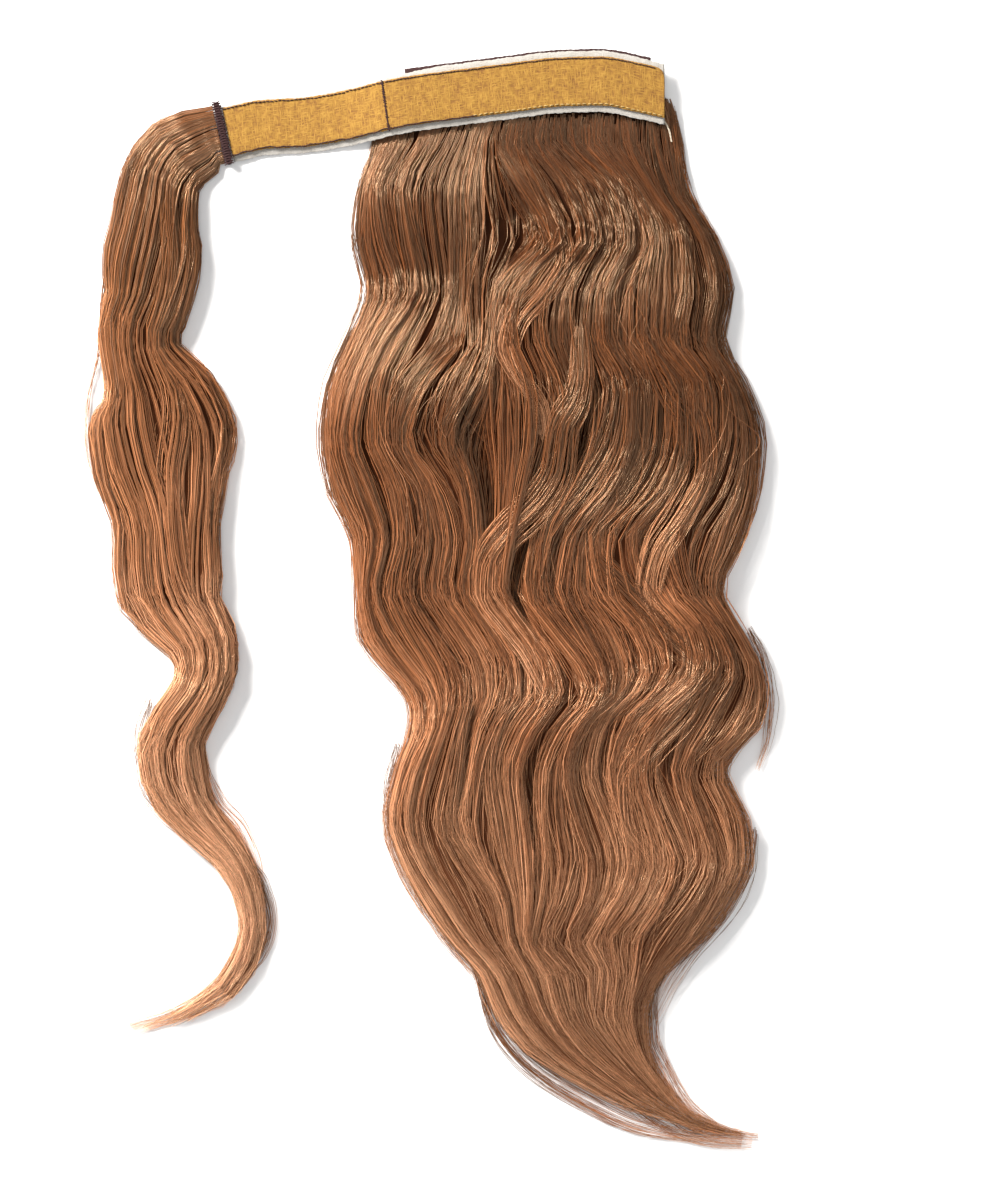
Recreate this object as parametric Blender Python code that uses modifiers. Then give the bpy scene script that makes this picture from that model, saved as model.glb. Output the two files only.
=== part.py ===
"""Wrap-around ponytail hairpiece, lying flat on its hair as it does on a table.

A fabric strap carries two lengths of woven loop tape. The ponytail's wefts hang under its
right-hand stretch, and a wrap lock is sewn to its left end with a stitched band. The hair is
made of flattened locks fused to a root bar, cut level where it lies on the table.
Lengths are in metres, +Y points from the hair's tip to the strap, and +Z points up.
"""

import math
from bisect import bisect_right
from collections import namedtuple

import bmesh
import bpy
from mathutils import Matrix, Vector

# Hair sizes
HAIR_LENGTH = 0.518
HAIR_HALF_WIDTH = 0.106
HAIR_THICKNESS = 0.024
WRAP_LENGTH = 0.447
WRAP_HALF_WIDTH = 0.0375
WRAP_THICKNESS = 0.013

# Strap sizes
STRAP_LENGTH = 0.218
BACKING_WIDTH = 0.0305
BACKING_THICKNESS = 0.0012
BACKING_ROLL = 0.0006
TAPE_WIDTH = 0.0245
TAPE_THICKNESS = 0.0012
TAPE_CORNER = 0.0045
SEAM_SHARE = 0.362
WEFT_THICKNESS = 0.001
WEFT_SHOWING = 0.0012
ROOT_THICKNESS = 0.005
ROOT_WIDTH = 0.020
BAND_WIDTH = 0.0044
BAND_LENGTH = 0.0315
BAND_HEIGHT = 0.0054
BAND_BEVEL = 0.0008
BAND_LEAN = math.radians(12.5)
WRAP_ROOT_LENGTH = 0.005
WRAP_ROOT_WIDTH = 0.029

# Clearances
GAP = 0.0003
SINK = 0.004
WRAP_ROOT_OVERLAP = 0.0035

# Faceting
LOCK_SIDES = 8
STRAP_STATIONS = 30

# Where the ponytail's middle root and the wrap lock's root lie along the strap
HAIR_ROOT_ALONG = 0.692
HAIR_ROOT_DROP = 0.006
ROOT_START, ROOT_END = 0.352, 1.025
WEFT_START, WEFT_END = 0.415, 0.965

SEAT_HEIGHT = ROOT_THICKNESS + WEFT_THICKNESS + 2 * GAP
UP = Vector((0.0, 0.0, 1.0))

Strap = namedtuple("Strap", "along rise turn brim lift")
Hair = namedtuple("Hair", "along left inner_left middle inner_right right thick")
Wrap = namedtuple("Wrap", "along across half_width thick")
Lock = namedtuple("Lock", "start reach root middle tip half_width depth lift")

# rise is a share of the strap's length, turn the angle in degrees at which it heads, brim a
# share of the backing's margin above the tape, and lift a share of the seat height
STRAP_SECTIONS = [
    Strap(0.000, 0.000, 12.5, 0.25, 0.24),
    Strap(0.084, 0.018, 7.0, 0.25, 0.12),
    Strap(0.171, 0.023, 3.5, 0.25, 0.06),
    Strap(0.263, 0.037, 6.5, 0.30, 0.22),
    Strap(0.320, 0.049, 8.0, 0.35, 0.60),
    Strap(0.365, 0.059, 8.0, 0.40, 0.90),
    Strap(0.420, 0.069, 7.5, 0.60, 1.00),
    Strap(0.500, 0.080, 7.5, 1.00, 1.00),
    Strap(0.628, 0.096, 7.5, 1.00, 1.00),
    Strap(0.765, 0.112, 5.5, 1.00, 1.00),
    Strap(0.852, 0.114, 0.0, 1.00, 1.00),
    Strap(0.947, 0.098, -4.0, 0.90, 0.93),
    Strap(1.000, 0.086, 0.0, 0.80, 0.86),
]

# Five flow lines across the ponytail, as shares of its half width, and its thickness
HAIR_SECTIONS = [
    Hair(0.000, -0.70, -0.34, 0.00, 0.32, 0.69, 0.20),
    Hair(0.039, -0.71, -0.36, 0.00, 0.39, 0.70, 0.21),
    Hair(0.087, -0.78, -0.40, 0.03, 0.49, 0.72, 0.46),
    Hair(0.135, -0.80, -0.32, 0.08, 0.56, 0.85, 0.64),
    Hair(0.183, -0.75, -0.37, 0.01, 0.52, 0.92, 0.76),
    Hair(0.231, -0.83, -0.50, -0.02, 0.54, 0.88, 0.86),
    Hair(0.280, -0.93, -0.60, -0.06, 0.68, 0.99, 0.96),
    Hair(0.328, -0.95, -0.59, -0.08, 0.79, 1.06, 1.00),
    Hair(0.376, -0.92, -0.53, -0.07, 0.75, 1.04, 1.00),
    Hair(0.424, -0.82, -0.46, -0.10, 0.61, 0.98, 0.96),
    Hair(0.473, -0.80, -0.46, -0.11, 0.60, 0.88, 0.94),
    Hair(0.511, -0.79, -0.41, -0.03, 0.76, 0.98, 0.94),
    Hair(0.550, -0.67, -0.33, 0.06, 0.88, 1.08, 0.92),
    Hair(0.573, -0.56, -0.30, 0.03, 0.85, 1.10, 0.91),
    Hair(0.598, -0.54, -0.29, 0.00, 0.79, 1.08, 0.90),
    Hair(0.646, -0.61, -0.39, -0.13, 0.63, 0.90, 0.88),
    Hair(0.694, -0.66, -0.40, -0.10, 0.68, 1.00, 0.86),
    Hair(0.733, -0.60, -0.36, -0.06, 0.75, 1.02, 0.82),
    Hair(0.771, -0.51, -0.28, -0.03, 0.70, 0.94, 0.76),
    Hair(0.810, -0.37, -0.17, 0.01, 0.53, 0.81, 0.66),
    Hair(0.839, -0.24, -0.10, 0.06, 0.45, 0.64, 0.58),
    Hair(0.878, -0.17, -0.02, 0.13, 0.41, 0.55, 0.50),
    Hair(0.916, -0.03, 0.12, 0.26, 0.44, 0.56, 0.42),
    Hair(0.955, 0.28, 0.38, 0.49, 0.60, 0.66, 0.30),
    Hair(0.979, 0.52, 0.60, 0.66, 0.72, 0.77, 0.20),
    Hair(1.000, 1.02, 1.03, 1.04, 1.05, 1.06, 0.12),
]

# The wrap lock's middle line and half width, as shares of WRAP_HALF_WIDTH
WRAP_SECTIONS = [
    Wrap(0.000, 0.00, 0.40, 0.40),
    Wrap(0.006, -0.12, 0.48, 0.46),
    Wrap(0.018, -0.40, 0.54, 0.56),
    Wrap(0.033, -0.56, 0.55, 0.66),
    Wrap(0.050, -0.66, 0.55, 0.74),
    Wrap(0.075, -0.70, 0.57, 0.84),
    Wrap(0.103, -0.73, 0.60, 0.90),
    Wrap(0.125, -0.74, 0.66, 0.95),
    Wrap(0.153, -0.78, 0.65, 1.00),
    Wrap(0.183, -0.83, 0.58, 1.00),
    Wrap(0.217, -0.96, 0.55, 1.00),
    Wrap(0.239, -0.95, 0.52, 1.00),
    Wrap(0.267, -0.84, 0.62, 1.00),
    Wrap(0.295, -0.73, 0.85, 1.00),
    Wrap(0.329, -0.70, 1.01, 1.00),
    Wrap(0.368, -0.69, 0.96, 1.00),
    Wrap(0.408, -0.62, 0.82, 1.00),
    Wrap(0.441, -0.59, 0.73, 1.00),
    Wrap(0.475, -0.57, 0.75, 0.98),
    Wrap(0.509, -0.50, 0.74, 0.97),
    Wrap(0.537, -0.32, 0.56, 0.95),
    Wrap(0.565, -0.09, 0.48, 0.94),
    Wrap(0.593, -0.04, 0.42, 0.92),
    Wrap(0.621, -0.14, 0.37, 0.90),
    Wrap(0.649, -0.36, 0.38, 0.89),
    Wrap(0.682, -0.54, 0.45, 0.88),
    Wrap(0.722, -0.48, 0.44, 0.84),
    Wrap(0.761, -0.23, 0.32, 0.76),
    Wrap(0.800, 0.21, 0.25, 0.68),
    Wrap(0.840, 0.47, 0.21, 0.60),
    Wrap(0.884, 0.56, 0.18, 0.50),
    Wrap(0.924, 0.43, 0.19, 0.44),
    Wrap(0.952, 0.20, 0.17, 0.38),
    Wrap(0.974, -0.13, 0.13, 0.30),
    Wrap(0.991, -0.66, 0.06, 0.22),
    Wrap(1.000, -1.06, 0.02, 0.12),
]

# Where each lock lies across the ponytail, from 0 at the left to 1 at the right
PONYTAIL_LOCKS = [
    Lock(0.00, 0.88, 0.11, 0.11, 0.12, 0.128, 0.34, 0.20),
    Lock(0.00, 0.97, 0.28, 0.28, 0.12, 0.125, 0.36, 0.24),
    Lock(0.00, 1.00, 0.45, 0.45, 0.36, 0.135, 0.36, 0.26),
    Lock(0.00, 0.99, 0.61, 0.61, 0.66, 0.120, 0.36, 0.26),
    Lock(0.00, 0.97, 0.76, 0.76, 0.80, 0.118, 0.36, 0.24),
    Lock(0.00, 0.93, 0.89, 0.89, 0.89, 0.118, 0.34, 0.20),
    Lock(0.00, 0.80, 0.20, 0.17, 0.24, 0.070, 0.30, 0.60),
    Lock(0.00, 0.90, 0.34, 0.31, 0.36, 0.075, 0.32, 0.64),
    Lock(0.00, 0.84, 0.46, 0.43, 0.40, 0.055, 0.30, 0.68),
    Lock(0.00, 0.95, 0.50, 0.57, 0.44, 0.065, 0.32, 0.66),
    Lock(0.00, 0.92, 0.66, 0.70, 0.66, 0.080, 0.32, 0.64),
    Lock(0.00, 0.88, 0.82, 0.84, 0.82, 0.070, 0.30, 0.58),
]

# Where each lock lies across the wrap lock, from -1 at its left edge to 1 at its right
WRAP_LOCKS = [
    Lock(0.00, 0.96, -0.56, -0.58, -0.40, 0.48, 0.36, 0.26),
    Lock(0.00, 1.00, 0.02, -0.02, 0.00, 0.50, 0.40, 0.28),
    Lock(0.00, 0.98, 0.56, 0.58, 0.40, 0.48, 0.36, 0.26),
    Lock(0.00, 0.90, -0.30, -0.26, -0.10, 0.30, 0.32, 0.62),
    Lock(0.00, 0.80, 0.36, 0.40, 0.20, 0.28, 0.32, 0.64),
    Lock(0.66, 0.90, 0.70, 1.70, 0.40, 0.17, 0.26, 0.22),
]

# The core under the locks: its height as a share of the hair's, and where it lies across
CORE_SHARE = 0.55
PONYTAIL_CORE = [0.10, 0.22, 0.36, 0.50, 0.64, 0.78, 0.90]
PONYTAIL_CORE_REACH = 0.93
WRAP_CORE = [-0.80, -0.30, 0.30, 0.80]
WRAP_CORE_REACH = 0.95

# The root bar's corners, as shares of its half width and its height
BAR_CORNERS = [(-1, 0), (1, 0), (1, 0.6), (0.8, 1), (-0.8, 1), (-1, 0.6)]
BAR_STATIONS = 12

EDGE_FALL = 0.45
CREST = 0.10
CRESTS = 3.5
THINNEST_LOCK = 0.0008
NUDGE = 0.0011
TIP_TAPER = 0.06
TIP_SIZE = 0.25

# Finishes, as base colour, roughness and metallic
HAIR_FINISH = ((0.30, 0.14, 0.07), 0.42, 0.0)
TAPE_FINISH = ((0.72, 0.44, 0.11), 0.9, 0.0)
BACKING_FINISH = ((0.86, 0.82, 0.74), 0.85, 0.0)
THREAD_FINISH = ((0.10, 0.06, 0.07), 0.8, 0.0)


def clear_scene():
    for old in list(bpy.data.objects):
        bpy.data.objects.remove(old)


def new_collection(name, parent=None):
    collection = bpy.data.collections.new(name)
    (parent or bpy.context.scene.collection).children.link(collection)
    return collection


def finish(name, recipe):
    """A plain Principled material from a base colour, a roughness and a metallic value."""
    material = bpy.data.materials.new(name)
    material.use_nodes = True
    shader = material.node_tree.nodes["Principled BSDF"]
    colour, roughness, metallic = recipe
    shader.inputs["Base Color"].default_value = (*colour, 1.0)
    shader.inputs["Roughness"].default_value = roughness
    shader.inputs["Metallic"].default_value = metallic
    return material


def add_object(name, mesh, collection, material=None):
    made = bpy.data.objects.new(name, mesh)
    collection.objects.link(made)
    if material:
        mesh.materials.append(material)
    return made


def hide_shape(made):
    """Leaves a shape that others are fused or cut with out of the finished model."""
    made.hide_render = True
    made.display_type = "WIRE"
    return made


def add_loft(name, rings, collection, material=None):
    """A closed solid through a list of rings, each a list of as many points."""
    shape = bmesh.new()
    loops = [[shape.verts.new(point) for point in ring] for ring in rings]
    for first, second in zip(loops, loops[1:]):
        for i in range(len(first)):
            j = (i + 1) % len(first)
            shape.faces.new((first[i], first[j], second[j], second[i]))
    shape.faces.new(loops[0][::-1])
    shape.faces.new(loops[-1])
    bmesh.ops.recalc_face_normals(shape, faces=shape.faces)
    mesh = bpy.data.meshes.new(name)
    shape.to_mesh(mesh)
    shape.free()
    return add_object(name, mesh, collection, material)


def add_cube(name, collection):
    """A cube one metre across, in one collection only."""
    bpy.ops.mesh.primitive_cube_add(size=1)
    cube = bpy.context.object
    cube.name = name
    for old in list(cube.users_collection):
        old.objects.unlink(cube)
    collection.objects.link(cube)
    return cube


def gentle_slope(before, after):
    """The slope of a curve that never overshoots its rows."""
    return 0.0 if before * after <= 0 else 2 * before * after / (before + after)


def smooth_value(keys, values, where):
    """A smooth curve through values at keys, read at one place."""
    steps = [b - a for a, b in zip(keys, keys[1:])]
    rises = [(b - a) / step for a, b, step in zip(values, values[1:], steps)]
    slopes = [rises[0]]
    slopes += [gentle_slope(a, b) for a, b in zip(rises, rises[1:])]
    slopes += [rises[-1]]
    i = min(max(bisect_right(keys, where) - 1, 0), len(steps) - 1)
    t = min(max((where - keys[i]) / steps[i], 0.0), 1.0)
    ease = t * t * (3 - 2 * t)
    leave = t * (1 - t) * (1 - t) * slopes[i] * steps[i]
    arrive = t * t * (t - 1) * slopes[i + 1] * steps[i]
    return values[i] * (1 - ease) + values[i + 1] * ease + leave + arrive


def read_column(rows, column, where):
    """One named column of a table of sections, read at a share along it."""
    return smooth_value([row.along for row in rows], [getattr(row, column) for row in rows], where)


def strap_point(along, sideways=0.0, height=0.0):
    """A point on the strap: a share along it, metres towards its upper edge, metres up."""
    rise = read_column(STRAP_SECTIONS, "rise", along)
    angle = math.radians(read_column(STRAP_SECTIONS, "turn", along))
    lift = read_column(STRAP_SECTIONS, "lift", along) * SEAT_HEIGHT
    return Vector(
        (
            along * STRAP_LENGTH - sideways * math.sin(angle),
            rise * STRAP_LENGTH + sideways * math.cos(angle),
            lift + height,
        )
    )


def add_ribbon(name, start, end, edges, height, thickness, collection, material):
    """A strip of cloth along the strap. edges(along) gives its lower edge, the points
    between and its upper edge as (sideways, extra height)."""
    shape = bmesh.new()
    columns = []
    for station in range(STRAP_STATIONS + 1):
        along = start + (end - start) * station / STRAP_STATIONS
        points = [strap_point(along, side, height + up) for side, up in edges(along)]
        columns.append([shape.verts.new(point) for point in points])
    for first, second in zip(columns, columns[1:]):
        for i in range(len(first) - 1):
            shape.faces.new((first[i], second[i], second[i + 1], first[i + 1]))
    mesh = bpy.data.meshes.new(name)
    shape.to_mesh(mesh)
    shape.free()
    made = add_object(name, mesh, collection, material)
    wall = made.modifiers.new("wall", "SOLIDIFY")
    wall.thickness = thickness
    wall.offset = 1.0
    return made


def band_centre():
    """The stitched band's centre, beside the strap's left end, at the table's height."""
    return leave_band() * (BAND_WIDTH / 2 + GAP)


def leave_band():
    """The direction in which hair leaves the stitched band."""
    return Vector((-math.cos(BAND_LEAN), -math.sin(BAND_LEAN), 0.0))


def hair_flow(across, along):
    """A point of the ponytail's flow, from the left flow line at 0 to the right one at 1."""
    lines = [
        read_column(HAIR_SECTIONS, column, along)
        for column in ("left", "inner_left", "middle", "inner_right", "right")
    ]
    shares = [i / (len(lines) - 1) for i in range(len(lines))]
    root = strap_point(HAIR_ROOT_ALONG)
    inside = min(max(across, 0.0), 1.0)
    beyond = (across - inside) * (lines[-1] - lines[0])
    return Vector(
        (
            root.x + (smooth_value(shares, lines, inside) + beyond) * HAIR_HALF_WIDTH,
            root.y - HAIR_ROOT_DROP - along * HAIR_LENGTH,
            0.0,
        )
    )


def hair_top(across, along):
    """The height of the ponytail's upper surface, which falls to its sides in soft waves."""
    thick = read_column(HAIR_SECTIONS, "thick", along) * HAIR_THICKNESS
    dome = 1 - EDGE_FALL * abs(2 * across - 1) ** 3
    wave = 1 + CREST * math.sin(2 * math.pi * (CRESTS * along + across / 2)) * min(1, 6 * along)
    return thick * dome * wave


def wrap_flow(across, along):
    """A point of the wrap lock's flow, from its left edge at -1 to its right edge at 1."""
    step = 0.006
    root = band_centre() + leave_band() * (BAND_WIDTH / 2 + GAP + WRAP_ROOT_OVERLAP)

    def middle(share):
        share = min(max(share, 0.0), 1.0)
        sideways = read_column(WRAP_SECTIONS, "across", share) * WRAP_HALF_WIDTH
        return root + Vector((sideways, -share * WRAP_LENGTH, 0.0))

    heading = (middle(along + step) - middle(along - step)).normalized()
    if along < step:
        heading = leave_band().lerp(heading, along / step).normalized()
    right = Vector((-heading.y, heading.x, 0.0))
    half = read_column(WRAP_SECTIONS, "half_width", along) * WRAP_HALF_WIDTH
    return middle(along) + right * across * half


def wrap_top(across, along):
    """The height of the wrap lock's upper surface."""
    thick = read_column(WRAP_SECTIONS, "thick", along) * WRAP_THICKNESS
    return thick * (1 - EDGE_FALL * min(abs(across), 1.0) ** 3)


def lock_share(lock, along):
    """Where a lock lies across the hair at a share along it."""
    run = (along - lock.start) / (lock.reach - lock.start)
    return smooth_value([0.0, 0.5, 1.0], [lock.root, lock.middle, lock.tip], run)


def taper(lock, along):
    """A lock's size at a share along it: full, and narrowing over its last stretch."""
    left = max(lock.reach - along, 0.0) / TIP_TAPER
    size = TIP_SIZE + (1 - TIP_SIZE) * min(left, 1.0)
    if lock.start > 0:
        size *= min(1.0, TIP_SIZE + (along - lock.start) / TIP_TAPER)
    return size


def flow_width(flow, share, along, heading):
    """How wide the flow is at one place, square to it, for each whole share across."""
    reach = 0.08
    across = flow(share + reach, along) - flow(share - reach, along)
    return abs(across.x * heading.y - across.y * heading.x) / (2 * reach)


def add_lock(name, lock, flow, top, rows, first_heading, back, number, collection):
    """One flattened lock, lofted through elliptical sections that follow the hair's flow.
    back is how far behind the flow's start its root lies, and number its place in its table."""
    rings = []
    alongs = stations(rows, lock.start, lock.reach, number)
    centres = [flow(lock_share(lock, along), along) for along in alongs]
    for i, along in enumerate(alongs):
        heading = centres[min(i + 1, len(centres) - 1)] - centres[max(i - 1, 0)]
        if i == 0 and lock.start == 0:
            heading = first_heading.copy()
            centres[0] -= heading * back
        heading.normalize()
        side = Vector((-heading.y, heading.x, 0.0))
        share = lock_share(lock, along)
        level = top(share, along)
        size = taper(lock, along)
        width = flow_width(flow, share, along, heading)
        wide = max(lock.half_width * width * size, THINNEST_LOCK)
        high = max(lock.depth * level * size, THINNEST_LOCK)
        middle = centres[i] + UP * lock.lift * level
        turns = [2 * math.pi * (corner + 0.5) / LOCK_SIDES for corner in range(LOCK_SIDES)]
        rings.append([middle + side * wide * math.cos(a) + UP * high * math.sin(a) for a in turns])
    return hide_shape(add_loft(name, rings, collection))


def stations(rows, start, reach, number=0):
    """The shares along the hair at which a lock has a section: a table's own rows, moved
    a little by its number so that no two neighbours' sections lie in one plane."""
    nudge = NUDGE * (number % 7 - 3)
    near = 5 * NUDGE
    between = [row.along for row in rows if start + near < row.along < reach - near]
    return [start, *[along + nudge for along in between], reach]


def add_core(name, flow, top, spread, alongs, collection):
    """The solid inside that the locks lie on, so that no hollow is left between them.
    spread is the list of places across the hair that its upper surface passes through."""
    rings = []
    for along in alongs:
        upper = [flow(across, along) + UP * CORE_SHARE * top(across, along) for across in spread]
        lower = [Vector((point.x, point.y, -SINK)) for point in (upper[-1], upper[0])]
        rings.append(upper + lower)
    return hide_shape(add_loft(name, rings, collection))


def add_head(name, points, half_width, collection, material):
    """The root bar that locks are fused to: a bar standing on the table, whose top passes
    through a list of points."""
    rings = []
    for i, point in enumerate(points):
        heading = points[min(i + 1, len(points) - 1)] - points[max(i - 1, 0)]
        side = Vector((-heading.y, heading.x, 0.0)).normalized() * half_width
        base = Vector((point.x, point.y, 0))
        rings.append([base + side * out + UP * point.z * up for out, up in BAR_CORNERS])
    return add_loft(name, rings, collection, material)


def add_table_cutter(collection):
    """A block under the table's surface that cuts the hair level where it lies."""
    block = add_cube("table_cutter", collection)
    wide = 4 * HAIR_LENGTH
    depth = 10 * SINK
    block.scale = (wide, wide, depth)
    block.location = (0.0, 0.0, -depth / 2)
    return hide_shape(block)


def fuse(made, locks, cutter):
    """Joins a collection of locks to their root bar and cuts the whole level with the table."""
    join = made.modifiers.new("locks", "BOOLEAN")
    join.operation = "UNION"
    join.operand_type = "COLLECTION"
    join.collection = locks
    level = made.modifiers.new("table", "BOOLEAN")
    level.operation = "DIFFERENCE"
    level.object = cutter
    return made


def straight(half_width):
    """A flat ribbon's edges."""
    return lambda along: [(-half_width, 0.0), (half_width, 0.0)]


def backing_edges(along):
    """The backing's flat middle and its two rolled edges."""
    tape = TAPE_WIDTH / 2
    lower = BACKING_WIDTH / 2
    upper = tape + (lower - tape) * read_column(STRAP_SECTIONS, "brim", along)
    edge = BACKING_ROLL
    return [
        (-lower, 0.0),
        (-0.6 * lower - 0.4 * tape, edge),
        (-tape - GAP, 0.0),
        (tape + 0.1 * (upper - tape), 0.0),
        (0.6 * upper + 0.4 * tape, edge),
        (upper, 0.0),
    ]


def long_tape_edges(along):
    """The long tape's edges, whose outer top corner is rounded."""
    half = TAPE_WIDTH / 2
    into = max(0.0, TAPE_CORNER - (1.0 - along) * STRAP_LENGTH)
    cut = TAPE_CORNER - math.sqrt(max(TAPE_CORNER**2 - into**2, 0.0))
    return [(-half, 0.0), (half - cut, 0.0)]


def weft_edges(along):
    """The weft band, which shows past the backing's upper edge."""
    half = BACKING_WIDTH / 2
    return [(-half * 0.6, 0.0), (half + WEFT_SHOWING, 0.0)]


def build_strap(collection):
    backing = finish("backing_cloth", BACKING_FINISH)
    tape = finish("loop_tape", TAPE_FINISH)
    thread = finish("weft_thread", THREAD_FINISH)
    add_ribbon(
        "strap_backing", 0.0, 1.0, backing_edges, 0.0, BACKING_THICKNESS, collection, backing
    )
    on_backing = BACKING_THICKNESS + GAP
    seam = GAP / STRAP_LENGTH / 2
    add_ribbon(
        "loop_tape_short", 0.0, SEAM_SHARE - seam, straight(TAPE_WIDTH / 2), on_backing,
        TAPE_THICKNESS, collection, tape,
    )
    add_ribbon(
        "loop_tape_long", SEAM_SHARE + seam, 1.0, long_tape_edges, on_backing,
        TAPE_THICKNESS, collection, tape,
    )
    add_ribbon(
        "weft_band", WEFT_START, WEFT_END, weft_edges, -GAP - WEFT_THICKNESS,
        WEFT_THICKNESS, collection, thread,
    )


def build_ponytail(collection, shapes, cutter, material):
    drop = -HAIR_ROOT_DROP / 2
    points = []
    for i in range(BAR_STATIONS + 1):
        along = ROOT_START + (ROOT_END - ROOT_START) * i / BAR_STATIONS
        point = strap_point(min(along, 1.0), drop)
        point.x += max(along - 1.0, 0.0) * STRAP_LENGTH
        point.z -= SEAT_HEIGHT - ROOT_THICKNESS
        points.append(point)
    head = add_head("ponytail_hair", points, ROOT_WIDTH / 2, collection, material)

    down = Vector((0.0, -1.0, 0.0))
    back = (ROOT_WIDTH / 2 - HAIR_ROOT_DROP / 2) / len(PONYTAIL_LOCKS)
    locks = new_collection("ponytail_locks", shapes)
    add_core(
        "ponytail_core", hair_flow, hair_top, PONYTAIL_CORE,
        stations(HAIR_SECTIONS, 0.0, PONYTAIL_CORE_REACH), locks,
    )
    for i, lock in enumerate(PONYTAIL_LOCKS):
        add_lock(
            f"ponytail_lock_{i}", lock, hair_flow, hair_top, HAIR_SECTIONS, down,
            back * (i + 1), i, locks,
        )
    return fuse(head, locks, cutter)


def build_band(collection, material):
    band = add_cube("wrap_band", collection)
    band.data.transform(Matrix.Diagonal((BAND_WIDTH, BAND_LENGTH, BAND_HEIGHT, 1.0)))
    band.location = band_centre() + UP * BAND_HEIGHT / 2
    band.rotation_euler = (0, 0, BAND_LEAN)
    band.data.materials.append(material)
    rounding = band.modifiers.new("rounding", "BEVEL")
    rounding.width = BAND_BEVEL
    rounding.segments = 2
    return band


def build_wrap(collection, shapes, cutter, material):
    start = band_centre() + leave_band() * (BAND_WIDTH / 2 + GAP)
    start.z = WRAP_THICKNESS * WRAP_SECTIONS[0].thick
    into = start + leave_band() * WRAP_ROOT_LENGTH
    back = WRAP_ROOT_OVERLAP / (len(WRAP_LOCKS) + 2)
    head = add_head("wrap_lock", [start, into], WRAP_ROOT_WIDTH / 2, collection, material)
    locks = new_collection("wrap_locks", shapes)
    add_core(
        "wrap_core", wrap_flow, wrap_top, WRAP_CORE,
        stations(WRAP_SECTIONS, 0.0, WRAP_CORE_REACH), locks,
    )
    for i, lock in enumerate(WRAP_LOCKS):
        add_lock(
            f"wrap_lock_{i}", lock, wrap_flow, wrap_top, WRAP_SECTIONS, leave_band(),
            back * (i + 1), i, locks,
        )
    return fuse(head, locks, cutter)


def settle(collection, shapes):
    """Moves the assembly and the shapes it is cut from, so that the middle of its outline
    stands on the origin."""
    bpy.context.view_layer.update()
    graph = bpy.context.evaluated_depsgraph_get()
    corners = []
    for made in collection.objects:
        shown = made.evaluated_get(graph)
        corners += [shown.matrix_world @ Vector(corner) for corner in shown.bound_box]
    low = Vector([min(c[i] for c in corners) for i in range(3)])
    high = Vector([max(c[i] for c in corners) for i in range(3)])
    anchor = add_object("anchor", None, shapes)
    anchor.location = (-(low.x + high.x) / 2, -(low.y + high.y) / 2, -low.z)
    for made in [*collection.objects, *shapes.all_objects]:
        if made != anchor:
            made.parent = anchor


def main():
    clear_scene()
    collection = new_collection("ponytail_hairpiece")
    shapes = new_collection("lock_shapes")
    cutter = add_table_cutter(shapes)
    hair = finish("hair", HAIR_FINISH)
    thread = finish("band_thread", THREAD_FINISH)
    build_strap(collection)
    build_ponytail(collection, shapes, cutter, hair)
    build_band(collection, thread)
    build_wrap(collection, shapes, cutter, hair)
    settle(collection, shapes)


main()
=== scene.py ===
"""Looks of the wrap-around ponytail hairpiece, laid out as a Blender add-on.

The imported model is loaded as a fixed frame. Strands, locks, cloth and stitches are made over
it, in metres, with +Y from the hair's tip to the strap and +Z up from the table.
"""

import math
from collections import namedtuple

import bmesh
import bpy
import numpy as np
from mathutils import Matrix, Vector


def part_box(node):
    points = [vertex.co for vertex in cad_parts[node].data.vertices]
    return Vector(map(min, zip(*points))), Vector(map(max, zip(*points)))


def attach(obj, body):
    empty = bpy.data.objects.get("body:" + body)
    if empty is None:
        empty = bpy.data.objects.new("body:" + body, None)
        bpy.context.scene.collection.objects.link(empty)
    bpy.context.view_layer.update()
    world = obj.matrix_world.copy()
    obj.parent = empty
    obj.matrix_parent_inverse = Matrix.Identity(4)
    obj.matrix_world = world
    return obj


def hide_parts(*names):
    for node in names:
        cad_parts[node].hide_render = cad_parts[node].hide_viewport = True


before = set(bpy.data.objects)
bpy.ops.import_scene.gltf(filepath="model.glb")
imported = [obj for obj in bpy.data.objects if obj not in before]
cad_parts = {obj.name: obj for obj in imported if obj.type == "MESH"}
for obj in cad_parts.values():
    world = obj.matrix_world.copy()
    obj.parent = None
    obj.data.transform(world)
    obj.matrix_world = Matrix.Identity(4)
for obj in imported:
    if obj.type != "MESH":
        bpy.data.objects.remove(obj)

bl_info = {
    "name": "Ponytail Hairpiece Looks",
    "version": (1, 0, 0),
    "blender": (4, 5, 0),
    "location": "View3D > Sidebar > Hairpiece",
    "description": "Strands, cloth, loop tape and stitches of a wrap-around ponytail hairpiece",
    "category": "Object",
}

ROOT_BODY = "root"

# The photograph's own measure: half a millimetre a pixel, with the strap starting at one pixel
PIXEL = 0.0005
PHOTO_WIDE, PHOTO_HIGH = 1000, 1200
STRAP_START_PIXEL = (228.0, 133.0)

# Strap sizes, as the solids have them. The backing's flat width is a mean, as its width varies.
STRAP_LENGTH = 0.218
BACKING_WIDTH = 0.0305
BACKING_THICKNESS = 0.0012
TAPE_WIDTH = 0.0245
TAPE_THICKNESS = 0.0012
TAPE_CORNER = 0.0045
SEAM_SHARE = 0.362
SEAT_HEIGHT = 0.0066
GAP = 0.0003
ON_BACKING = BACKING_THICKNESS + GAP
ON_TAPE = ON_BACKING + TAPE_THICKNESS
BAND_WIDTH = 0.0044
BAND_LENGTH = 0.0315
BAND_HEIGHT = 0.0054
BAND_LEAN = math.radians(12.5)

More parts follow.
